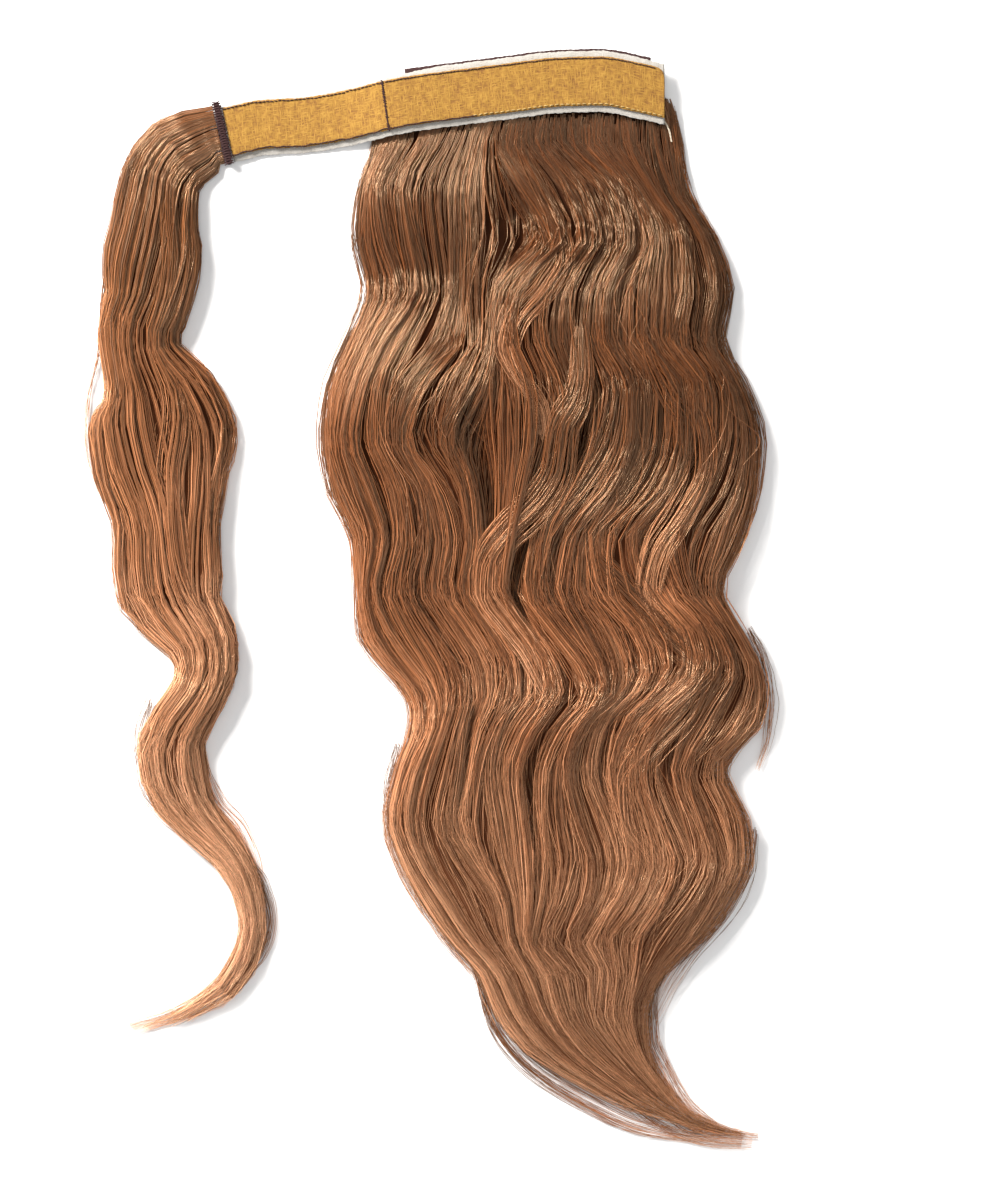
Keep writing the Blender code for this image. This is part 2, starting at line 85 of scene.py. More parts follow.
# Hair sizes, as the solids have them
HAIR_THICKNESS = 0.024
WRAP_LENGTH = 0.447
WRAP_HALF_WIDTH = 0.0375
WRAP_THICKNESS = 0.013
WRAP_ROOT_OVERLAP = 0.0035
FIRST_ROW = 100.0
LAST_ROW = 1136.0
EDGE_FALL = 0.45
CREST = 0.10
CRESTS = 3.5

# How many points a guide has, how many locks the hair falls into, and the locks' random seed
STATIONS = 40
LOCKS = 27
WRAP_LOCKS = 9
HAIR_SEED = 7

# The least heights over the table of the ponytail's strands, and of wisps and the wrap lock's
STRAND_FLOOR = 0.0013
WISP_FLOOR = 0.0012

# The row where the ponytail's strands start, how far above it they may, and how much higher they
# do beyond the strap's end
START_ROW, START_SPREAD, START_RISE = 128, 14, 16
# Where the wrap lock's strands start: before its root, as a share of its length
WRAP_START = -0.0088

Strap = namedtuple("Strap", "along rise turn brim lift")
Flow = namedtuple("Flow", "row a b c d e f g h i thick")
Wrap = namedtuple("Wrap", "along across half_width thick")
Split = namedtuple("Split", "start finish first last width depth")
Wisp = namedtuple("Wisp", "name strands spread height points")
Light = namedtuple("Light", "name place size power tint")

# The strap's bends: rise is a share of its length, turn its heading in degrees, brim a share of
# the backing's margin above the tape, and lift a share of the seat height
STRAP_SECTIONS = [
    Strap(0.000, 0.000, 12.5, 0.25, 0.24),
    Strap(0.084, 0.018, 7.0, 0.25, 0.12),
    Strap(0.171, 0.023, 3.5, 0.25, 0.06),
    Strap(0.263, 0.037, 6.5, 0.30, 0.22),
    Strap(0.320, 0.049, 8.0, 0.35, 0.60),
    Strap(0.365, 0.059, 8.0, 0.40, 0.90),
    Strap(0.420, 0.069, 7.5, 0.60, 1.00),
    Strap(0.500, 0.080, 7.5, 1.00, 1.00),
    Strap(0.628, 0.096, 7.5, 1.00, 1.00),
    Strap(0.765, 0.112, 5.5, 1.00, 1.00),
    Strap(0.852, 0.114, 0.0, 1.00, 1.00),
    Strap(0.947, 0.098, -4.0, 0.90, 0.93),
    Strap(1.000, 0.086, 0.0, 0.80, 0.86),
]

# Where nine flow lines of the ponytail, from its left edge to its right, cross the rows of the
# photograph, in its pixels, and how thick the hair is there as a share of HAIR_THICKNESS
FLOW_ROWS = [
    Flow(100, 381, 417, 453, 489, 525, 561, 597, 633, 667, 0.20),
    Flow(140, 379, 410, 440, 476, 512, 552, 590, 632, 678, 0.21),
    Flow(190, 364, 385, 418, 468, 536, 590, 629, 652, 682, 0.46),
    Flow(240, 360, 391, 424, 472, 560, 602, 642, 679, 710, 0.64),
    Flow(290, 371, 403, 432, 470, 519, 575, 623, 680, 725, 0.76),
    Flow(339, 354, 378, 408, 470, 510, 568, 619, 672, 716, 0.86),
    Flow(390, 333, 357, 384, 438, 521, 584, 645, 702, 740, 0.96),
    Flow(440, 328, 348, 380, 420, 515, 577, 645, 703, 754, 1.00),
    Flow(490, 335, 366, 400, 447, 505, 556, 629, 689, 750, 1.00),
    Flow(539, 356, 383, 406, 456, 498, 534, 595, 653, 737, 0.96),
    Flow(590, 360, 374, 396, 446, 490, 527, 600, 667, 716, 0.94),
    Flow(629, 362, 387, 415, 466, 512, 551, 631, 703, 737, 0.94),
    Flow(670, 388, 416, 441, 485, 531, 582, 645, 715, 759, 0.92),
    Flow(694, 411, 433, 449, 485, 531, 590, 634, 697, 763, 0.91),
    Flow(720, 415, 433, 445, 474, 513, 568, 610, 675, 759, 0.90),
    Flow(769, 400, 413, 430, 463, 498, 551, 600, 657, 720, 0.88),
    Flow(819, 390, 402, 422, 453, 505, 556, 617, 671, 742, 0.86),
    Flow(859, 402, 415, 434, 473, 511, 566, 625, 684, 746, 0.82),
    Flow(899, 422, 439, 457, 499, 520, 560, 614, 668, 729, 0.76),
    Flow(939, 451, 464, 482, 507, 523, 545, 590, 640, 701, 0.66),
    Flow(969, 479, 491, 508, 525, 545, 570, 605, 635, 665, 0.58),
    Flow(1010, 494, 508, 525, 541, 557, 577, 600, 625, 646, 0.50),
    Flow(1049, 523, 538, 555, 570, 585, 604, 622, 636, 648, 0.42),
    Flow(1089, 589, 600, 611, 622, 634, 645, 655, 663, 670, 0.30),
    Flow(1114, 640, 648, 657, 664, 670, 676, 682, 688, 693, 0.20),
    Flow(1136, 746, 747, 748, 749, 750, 751, 752, 753, 754, 0.12),
]

# The wrap lock's middle line and half width, as shares of WRAP_HALF_WIDTH
WRAP_SECTIONS = [
    Wrap(0.000, 0.00, 0.40, 0.40),
    Wrap(0.006, -0.12, 0.48, 0.46),
    Wrap(0.018, -0.40, 0.54, 0.56),
    Wrap(0.033, -0.56, 0.55, 0.66),
    Wrap(0.050, -0.66, 0.55, 0.74),
    Wrap(0.075, -0.70, 0.57, 0.84),
    Wrap(0.103, -0.73, 0.60, 0.90),
    Wrap(0.125, -0.74, 0.66, 0.95),
    Wrap(0.153, -0.78, 0.65, 1.00),
    Wrap(0.183, -0.83, 0.58, 1.00),
    Wrap(0.217, -0.96, 0.55, 1.00),
    Wrap(0.239, -0.95, 0.52, 1.00),
    Wrap(0.267, -0.84, 0.62, 1.00),
    Wrap(0.295, -0.73, 0.85, 1.00),
    Wrap(0.329, -0.70, 1.01, 1.00),
    Wrap(0.368, -0.69, 0.96, 1.00),
    Wrap(0.408, -0.62, 0.82, 1.00),
    Wrap(0.441, -0.59, 0.73, 1.00),
    Wrap(0.475, -0.57, 0.75, 0.98),
    Wrap(0.509, -0.50, 0.74, 0.97),
    Wrap(0.537, -0.32, 0.56, 0.95),
    Wrap(0.565, -0.09, 0.48, 0.94),
    Wrap(0.593, -0.04, 0.42, 0.92),
    Wrap(0.621, -0.14, 0.37, 0.90),
    Wrap(0.649, -0.36, 0.38, 0.89),
    Wrap(0.682, -0.54, 0.45, 0.88),
    Wrap(0.722, -0.48, 0.44, 0.84),
    Wrap(0.761, -0.23, 0.32, 0.76),
    Wrap(0.800, 0.21, 0.25, 0.68),
    Wrap(0.840, 0.47, 0.21, 0.60),
    Wrap(0.884, 0.56, 0.18, 0.50),
    Wrap(0.924, 0.43, 0.19, 0.44),
    Wrap(0.952, 0.20, 0.17, 0.38),
    Wrap(0.974, -0.13, 0.13, 0.30),
    Wrap(0.991, -0.66, 0.06, 0.22),
    Wrap(1.000, -1.06, 0.02, 0.12),
]

# Dark splits between the ponytail's locks: where they run across, from 0 at the left edge to 1
# at the right, at their first and last rows, with their half width across and depth in metres
SPLITS = [
    Split(0.455, 0.440, 175, 285, 0.020, 0.005),
    Split(0.625, 0.625, 350, 510, 0.022, 0.013),
    Split(0.610, 0.560, 500, 650, 0.024, 0.013),
    Split(0.875, 0.860, 410, 600, 0.026, 0.011),
    Split(0.437, 0.480, 390, 540, 0.022, 0.010),
    Split(0.300, 0.330, 560, 700, 0.014, 0.004),
    Split(0.946, 0.940, 640, 730, 0.018, 0.006),
    Split(0.580, 0.560, 730, 850, 0.018, 0.006),
    Split(0.360, 0.400, 700, 800, 0.016, 0.005),
    Split(0.760, 0.745, 690, 830, 0.014, 0.004),
    Split(0.300, 0.340, 850, 980, 0.016, 0.004),
]

# Locks that lie over the ponytail and wisps that stray from it, drawn through pixels of the
# photograph, with how many guides they have, a spread in pixels and a height over the hair in
# metres. A height below nothing is over the table instead, and falls off along the wisp.
OVER_LOCKS = [
    Wisp("light_lock", 30, 15, 0.0013, [
        (580, 330), (581, 373), (577, 400), (563, 427), (556, 473), (538, 503), (508, 533), (488, 567),
        (487, 590), (505, 620), (528, 650), (548, 690),
    ]),
    Wisp("crown_lock", 26, 15, 0.0010, [
        (500, 150), (522, 185), (548, 225), (558, 255), (540, 290), (516, 320), (508, 350), (520, 380),
        (540, 410), (545, 440),
    ]),
    Wisp("right_lock", 26, 15, 0.0010, [
        (655, 300), (650, 345), (668, 390), (694, 430), (698, 465), (680, 510), (655, 550), (646, 590),
        (664, 630), (700, 660),
    ]),
    Wisp("lower_lock", 28, 16, 0.0012, [
        (600, 560), (636, 600), (674, 640), (698, 670), (686, 705), (650, 745), (624, 785), (628, 825),
        (650, 860), (655, 900),
    ]),
]
WISPS = [
    Wisp("left_tip", 9, 9, -0.003, [(418, 870), (430, 905), (450, 940), (470, 965), (489, 985)]),
    Wisp("tip_left", 14, 16, -0.005, [
        (452, 900), (478, 945), (492, 985), (508, 1022), (540, 1058), (586, 1090),
    ]),
    Wisp("tip_under", 14, 14, -0.004, [
        (560, 1010), (592, 1050), (624, 1085), (668, 1118), (722, 1136), (752, 1139),
    ]),
    Wisp("tip_right", 12, 12, -0.005, [
        (664, 960), (648, 1000), (648, 1035), (664, 1075), (686, 1108), (716, 1130),
    ]),
    Wisp("tip_fringe", 16, 10, -0.003, [
        (462, 930), (482, 975), (494, 1020), (524, 1060), (580, 1098), (650, 1128), (742, 1141),
    ]),
    Wisp("tip_end", 12, 5, -0.002, [(640, 1085), (665, 1112), (700, 1130), (758, 1136)]),
    Wisp("right_wisp", 8, 6, -0.005, [(748, 630), (762, 658), (769, 700), (766, 735), (757, 768)]),
    Wisp("right_curl", 8, 7, -0.006, [(752, 440), (752, 475), (742, 520), (728, 556), (716, 590)]),
    Wisp("left_edge", 8, 6, -0.006, [(352, 330), (334, 375), (326, 430), (332, 480), (350, 525)]),
    Wisp("left_lower", 8, 6, -0.005, [(398, 745), (389, 790), (390, 830), (402, 870), (424, 912)]),
    Wisp("right_lower", 10, 9, -0.006, [
        (752, 830), (744, 870), (726, 908), (696, 945), (668, 985), (652, 1020),
    ]),
    Wisp("right_root", 7, 6, -0.004, [
        (672, 108), (676, 150), (688, 195), (712, 240), (724, 285), (716, 330),
    ]),
]
WRAP_WISPS = [
    Wisp("side", 10, 5, -0.004, [
        (196, 700), (203, 760), (218, 800), (240, 826), (256, 862), (262, 900),
    ]),
    Wisp("loop", 10, 7, -0.003, [
        (240, 850), (262, 885), (270, 920), (262, 950), (240, 975), (205, 1000),
    ]),
    Wisp("tip", 16, 8, -0.002, [
        (252, 905), (246, 935), (222, 982), (190, 1008), (160, 1020), (130, 1027),
    ]),
    Wisp("short", 8, 9, -0.002, [(258, 930), (240, 965), (215, 990), (196, 1005), (172, 1012)]),
    Wisp("left_edge", 6, 5, -0.004, [
        (112, 240), (103, 300), (99, 350), (88, 400), (86, 440), (98, 490),
    ]),
    Wisp("lower_edge", 6, 5, -0.004, [
        (150, 700), (139, 740), (142, 780), (162, 815), (200, 845), (232, 880),
    ]),
]

# The cream thread that hangs off the strap's lower right corner: pixels, and height in metres
LOOSE_THREAD = [
    (655, 120, 0.0066), (661, 121, 0.0062), (666, 126, 0.0054), (669, 133, 0.0050),
    (671, 143, 0.0054),
]

# The direction in which hair leaves the stitched band, and the band's centre from the strap's end
LEAVE_BAND = Vector((-math.cos(BAND_LEAN), -math.sin(BAND_LEAN), 0.0))
BAND_OFFSET = LEAVE_BAND * (BAND_WIDTH / 2 + GAP)


def strap_start():
    """The strap's left end in the frame, read from the stitched band's box."""
    low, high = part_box("wrap_band")
    start = (Vector(low) + Vector(high)) / 2 - BAND_OFFSET
    return Vector((start.x, start.y, 0.0))


SHIFT = strap_start()
RUN = np.linspace(0, 1, STATIONS)


def photo_places(column, row):
    """X and Y in the frame of places in the photograph, in its pixels."""
    x = SHIFT.x + (column - STRAP_START_PIXEL[0]) * PIXEL
    y = SHIFT.y - (row - STRAP_START_PIXEL[1]) * PIXEL
    return x, y


def row_share(rows):
    """How far rows of the photograph lie along the ponytail, from 0 to 1."""
    return (rows - FIRST_ROW) / (LAST_ROW - FIRST_ROW)


def wave(turns):
    """A sine wave, by its turns."""
    return np.sin(2 * np.pi * turns)


def inset(across, width):
    """How far places lie inside the edges at 0 and 1, up to 1 at a width's distance."""
    return np.clip(np.minimum(across, 1 - across) / width, 0, 1)


def unit(rows):
    """Rows of numbers as directions of length 1."""
    return rows / np.linalg.norm(rows, axis=1)[:, None]


def gentle_slopes(rises):
    """Slopes of a curve that never overshoots its rows, at each of them."""
    before, after = rises[:-1], rises[1:]
    product = before * after
    total = before + after
    middle = np.where(product > 0, 2 * product / np.where(total == 0, 1, total), 0.0)
    return np.concatenate([rises[:1], middle, rises[-1:]])


def between(low, high, leave, arrive, share):
    """A smooth step from low to high that leaves and arrives at given slopes."""
    ease = share * share * (3 - 2 * share)
    bend = leave * share * (1 - share) ** 2 + arrive * share**2 * (share - 1)
    return low * (1 - ease) + high * ease + bend


def smooth(keys, values, where):
    """Smooth curves through the columns of values at keys, read at many places."""
    keys = np.asarray(keys, float)
    values = np.asarray(values, float).reshape(len(keys), -1)
    steps = np.diff(keys)[:, None]
    slopes = gentle_slopes(np.diff(values, axis=0) / steps)
    i = np.clip(np.searchsorted(keys, where, side="right") - 1, 0, len(steps) - 1)
    share = np.clip((where - keys[i]) / steps[i, 0], 0, 1)[:, None]
    leave, arrive = slopes[i] * steps[i], slopes[i + 1] * steps[i]
    return between(values[i], values[i + 1], leave, arrive, share)


def read_rows(rows, names, where):
    """Named columns of a table of sections, read at many places along it."""
    values = [[getattr(row, name) for name in names] for row in rows]
    return smooth([row[0] for row in rows], values, np.asarray(where, float))


def across_lines(lines, across):
    """The place at a share across evenly numbered lines, for each row of lines."""
    count = lines.shape[1] - 1
    inside = np.clip(across, 0, 1)
    slopes = gentle_slopes(np.diff(lines, axis=1).T).T
    i = np.clip((inside * count).astype(int), 0, count - 1)
    row = np.arange(len(lines))
    ends = lines[row, i], lines[row, i + 1], slopes[row, i], slopes[row, i + 1]
    place = between(*ends, inside * count - i)
    return place + (across - inside) * (lines[:, -1] - lines[:, 0])


def hair_places(across, rows):
    """X and Y of the ponytail's flow and the height of its surface, for arrays of places."""
    shape = rows.shape
    across, rows = across.ravel(), rows.ravel()
    x, y = photo_places(across_lines(read_rows(FLOW_ROWS, "abcdefghi", rows), across), rows)
    thick = read_rows(FLOW_ROWS, ["thick"], rows)[:, 0] * HAIR_THICKNESS
    along = row_share(rows)
    dome = 1 - EDGE_FALL * np.abs(2 * np.clip(across, 0, 1) - 1) ** 3
    swell = wave(CRESTS * along + across / 2) * np.clip(6 * along, 0, 1)
    top = thick * dome * (1 + CREST * swell)
    return x.reshape(shape), y.reshape(shape), top.reshape(shape)


def surface_height(columns, rows):
    """The height of the ponytail's surface under places in the photograph, down to nothing
    outside its outline."""
    table = read_rows(FLOW_ROWS, "abcdefghi", rows)
    share = np.linspace(0, 1, table.shape[1])
    across = np.array([np.interp(c, line, share, -0.1, 1.1) for c, line in zip(columns, table)])
    inside = np.clip(np.minimum(across, 1 - across) / 0.05 + 0.5, 0, 1) * (rows <= LAST_ROW)
    return hair_places(np.clip(across, 0, 1), rows)[2] * inside


WRAP_STEPS = 900
WRAP_REACH = 5
WRAP_TURN = 0.006


def wrap_line():
    """Shares along the wrap lock, with its middle line, the direction it runs in, its half
    width and its thickness at each."""
    along = np.linspace(0, 1, WRAP_STEPS + 1)
    across, half, thick = read_rows(WRAP_SECTIONS, ["across", "half_width", "thick"], along).T
    start = SHIFT + BAND_OFFSET + LEAVE_BAND * (BAND_WIDTH / 2 + GAP + WRAP_ROOT_OVERLAP)
    line = np.stack([start.x + across * WRAP_HALF_WIDTH, start.y - along * WRAP_LENGTH], 1)
    step = np.arange(len(along))
    ahead, behind = np.minimum(step + WRAP_REACH, WRAP_STEPS), np.maximum(step - WRAP_REACH, 0)
    blend = np.clip(along / WRAP_TURN, 0, 1)[:, None]
    heading = unit(line[ahead] - line[behind]) * blend
    heading = unit(np.array([LEAVE_BAND[:2]]) * (1 - blend) + heading)
    return along, *line.T, *heading.T, half * WRAP_HALF_WIDTH, thick * WRAP_THICKNESS


WRAP_LINE = wrap_line()


def wrap_places(across, along):
    """X and Y of the wrap lock's flow and the height of its surface, for arrays of places.
    Across runs from -1 at its left edge to 1 at its right."""
    x, y, heading_x, heading_y, half, thick = [
        np.interp(along, WRAP_LINE[0], column) for column in WRAP_LINE[1:]
    ]
    before = np.minimum(along, 0.0) * WRAP_LENGTH
    place_x = x - heading_y * across * half + LEAVE_BAND.x * before
    place_y = y + heading_x * across * half + LEAVE_BAND.y * before
    top = thick * (1 - EDGE_FALL * np.clip(np.abs(across), 0, 1) ** 3)
    return place_x, place_y, top


def strap_places(along, sideways, height):
    """Points on the strap, for arrays: a share along it, metres towards its upper edge and
    metres up."""
    read = read_rows(STRAP_SECTIONS, ["rise", "turn", "lift"], np.ravel(along))
    rise, turn, lift = [column.reshape(np.shape(along)) for column in read.T]
    angle = np.radians(turn)
    x = SHIFT.x + along * STRAP_LENGTH - sideways * np.sin(angle)
    y = SHIFT.y + rise * STRAP_LENGTH + sideways * np.cos(angle)
    return np.stack([x, y, lift * SEAT_HEIGHT + height], -1)


def band_places(along, across, height):
    """Points on the stitched band, for arrays of metres along it, across it and up."""
    middle = SHIFT + BAND_OFFSET
    x = middle.x - math.sin(BAND_LEAN) * along + LEAVE_BAND.x * across
    y = middle.y + math.cos(BAND_LEAN) * along + LEAVE_BAND.y * across
    return np.stack(np.broadcast_arrays(x, y, height), -1)


# Helpers for meshes


def keep(made, slot, *replaced):
    """A finished piece rides on the part's one body and hides the parts it replaces. Slot is not used.
    """
    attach(made, ROOT_BODY)
    if replaced:
        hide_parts(*replaced)
    return made


def add_object(name, data):
    """An object of the scene."""
    made = bpy.data.objects.new(name, data)
    bpy.context.scene.collection.objects.link(made)
    return made


def mesh_object(name, points, edges, faces, material=None, flat=False):
    """An object from an array of points, with lists of edges and faces."""
    mesh = bpy.data.meshes.new(name)
    mesh.from_pydata(np.asarray(points, float).tolist(), edges, faces, shade_flat=flat)
    mesh.update()
    if material:
        mesh.materials.append(material)
    return add_object(name, mesh)


def chain_object(name, points):
    """A path as a chain of edges."""
    return mesh_object(name, points, [(i, i + 1) for i in range(len(points) - 1)], [])


def set_attribute(mesh, title, values):
    """Stores a number at each point of a mesh."""
    store = mesh.attributes.new(title, "FLOAT", "POINT")
    store.data.foreach_set("value", np.array(values, dtype=np.float32).ravel())


def guide_object(name, points, tone, loose):
    """Guides as chains of edges: an array of strands by stations by three, with a tone for each
    strand and how freely its copies may spread at each station."""
    shape = points.shape[:2]
    point = np.arange(shape[0] * shape[1]).reshape(shape)
    edges = np.stack([point[:, :-1], point[:, 1:]], -1).reshape(-1, 2)
    made = mesh_object(name, points.reshape(-1, 3), edges.tolist(), [])
    for title, values in (("tone", tone[:, None]), ("along", RUN), ("loose", loose)):
        set_attribute(made.data, title, np.broadcast_to(values, shape))
    return made


def outward(mesh):
    """Turns a closed mesh's faces to point out."""
    shape = bmesh.new()
    shape.from_mesh(mesh)
    bmesh.ops.recalc_face_normals(shape, faces=shape.faces)
    if shape.calc_volume(signed=True) < 0:
        bmesh.ops.reverse_faces(shape, faces=shape.faces)
    shape.to_mesh(mesh)
    shape.free()


def closed_grid(name, rings, material, along, across):
    """A closed solid through an array of rings, with a map of metres along and across it."""
    stations, corners = rings.shape[:2]
    point = np.arange(stations * corners).reshape(stations, corners)
    first, second = point[:-1], point[1:]
    sides = np.stack([first, np.roll(first, -1, 1), np.roll(second, -1, 1), second], -1)
    faces = [*sides.reshape(-1, 4).tolist(), point[0, ::-1].tolist(), point[-1].tolist()]
    made = mesh_object(name, rings.reshape(-1, 3), [], faces, material)
    outward(made.data)
    set_attribute(made.data, "along", along)
    set_attribute(made.data, "across", across)
    return made


def path_points(points, stations):
    """A smooth path through points of any number of columns, at even steps, and its left
    side."""
    points = np.asarray(points, float)
    steps = np.linalg.norm(np.diff(points, axis=0), axis=1)
    keys = np.concatenate([[0], np.cumsum(steps)]) / steps.sum()
    path = smooth(keys, points, np.linspace(0, 1, stations))
    heading = unit(np.gradient(path, axis=0))
    return path, np.stack([-heading[:, 1], heading[:, 0]], 1)


# Node trees


class Nodes:
    """A node tree, with short ways to fill it. A socket's name has _ for a blank."""

    def __init__(self, tree):
        self.tree = tree

    def put(self, socket, value):
        """Links an output to an input socket, or sets the socket's value."""
        if isinstance(value, bpy.types.NodeSocket):
            self.tree.links.new(value, socket)
        else:
            socket.default_value = value

    def add(self, kind, *values, settings=(), **sockets):
        """The outputs of a new node. Its inputs are given in their order or by their names, and
        one given as None is left alone."""
        node = self.tree.nodes.new(kind)
        for title, value in dict(settings).items():
            setattr(node, title, value)
        for socket, value in zip(node.inputs, values):
            if value is not None:
                self.put(socket, value)
        for title, value in sockets.items():
            self.put(node.inputs[title.replace("_", " ")], value)
        return node.outputs

    def maths(self, operation, *values):
        """The result of a Math node."""
        return self.add("ShaderNodeMath", *values, settings={"operation": operation})[0]

    def times(self, first, second):
        """The product of two numbers."""
        return self.maths("MULTIPLY", first, second)

    def vectors(self, operation, *values, **sockets):
        """The result of a Vector Math node."""
        settings = {"operation": operation}
        return self.add("ShaderNodeVectorMath", *values, settings=settings, **sockets)[0]

    def joined(self, *values):
        """A vector from its parts."""
        return self.add("ShaderNodeCombineXYZ", *values)[0]

    def named(self, title):
        """A number that is stored at each point of a Geometry Nodes mesh."""
        return self.add("GeometryNodeInputNamedAttribute", Name=title)[0]

    def tube(self, path, sides, size):
        """A smooth tube along a path, closed at its ends."""
        section = self.add("GeometryNodeCurvePrimitiveCircle", Resolution=sides, Radius=1.0)[0]
        swept = self.add(
            "GeometryNodeCurveToMesh", Curve=path, Profile_Curve=section, Scale=size, Fill_Caps=True
        )
        return self.add("GeometryNodeSetShadeSmooth", Geometry=swept[0])[0]

    def finish(self, shape, material):
        """Ends a Geometry Nodes tree with plain faces of one material."""
        real = self.add("GeometryNodeRealizeInstances", Geometry=shape)[0]
        dressed = self.add("GeometryNodeSetMaterial", Geometry=real, Material=material)[0]
        self.add("NodeGroupOutput", dressed)
        return self.tree

    def attribute(self, title):
        """A number that the piece stores at each point, for its material."""
        return self.add("ShaderNodeAttribute", settings={"attribute_name": title})["Fac"]

    def object_place(self):
        """Where a point lies in the piece's own coordinates."""
        return self.add("ShaderNodeTexCoord")["Object"]

    def cloth_place(self):
        """Where a point of cloth lies, in metres along and across it."""
        return self.joined(self.attribute("along"), self.attribute("across"))

    def noise(self, place, scale, detail=2.0, roughness=0.5):
        """The value of a Noise Texture."""
        return self.add(
            "ShaderNodeTexNoise", Vector=place, Scale=scale, Detail=detail, Roughness=roughness
        )[0]

    def threads(self, along, across, detail):
        """Noise that is scaled unevenly over cloth, as threads that run one way."""
        place = self.vectors("MULTIPLY", self.cloth_place(), (along, across, 1.0))
        return self.noise(place, 1.0, detail)

    def ramp(self, value, stops):
        """A Color Ramp through stops, each a place and a colour."""
        node = self.tree.nodes.new("ShaderNodeValToRGB")
        band = node.color_ramp.elements
        while len(band) < len(stops):
            band.new(0.5)
        for element, (place, tint) in zip(band, stops):
            element.position = place
            element.color = (*tint, 1.0)
        self.put(node.inputs[0], value)
        return node.outputs[0]

    def multiplied(self, first, second):
        """One colour times another, by the colour sockets of a Mix node."""
        node = self.tree.nodes.new("ShaderNodeMix")
        node.data_type = "RGBA"
        node.blend_type = "MULTIPLY"
        node.inputs["Factor"].default_value = 1.0
        for title, value in (("A", first), ("B", second)):
            socket = next(s for s in node.inputs if s.name == title and s.type == "RGBA")
            self.put(socket, (*value, 1.0) if isinstance(value, tuple) else value)
        return next(s for s in node.outputs if s.type == "RGBA")

    def bump(self, shader, height, distance):
        """Relief on a shader, from a height and what one unit of it is worth in metres."""
        normal = self.add("ShaderNodeBump", Height=height, Distance=distance, Strength=1.0)[0]
        self.put(shader.inputs["Normal"], normal)


def new_tree(name, inputs):
    """A Geometry Nodes tree with named inputs, each given as a name, a socket type and a
    default, and the outputs that bring them in."""
    tree = bpy.data.node_groups.new(name, "GeometryNodeTree")
    for title, kind, default in (("Geometry", "Geometry", None), *inputs):
        socket = tree.interface.new_socket(title, in_out="INPUT", socket_type=f"NodeSocket{kind}")
        if default is not None:
            socket.default_value = default
    tree.interface.new_socket("Geometry", in_out="OUTPUT", socket_type="NodeSocketGeometry")
    nodes = Nodes(tree)
    return nodes, nodes.add("NodeGroupInput")


# Swings of a strand: how fast they go along it, and where in the noise they are read. Strands
# are read up to a stride apart.
SLOW_SWING, QUICK_SWING, UPWARD_SWING = (5.0, 11.0), (26.0, 37.0), (7.0, 71.0)
STRAND_STRIDE = 60.0
# Shares of the spread and of the radius that strands vary by, and where they start to narrow
UPWARD_SHARE, RADIUS_SHARE, NARROW_FROM = 0.45, 0.22, 0.55
TONE_GAIN = 2.5


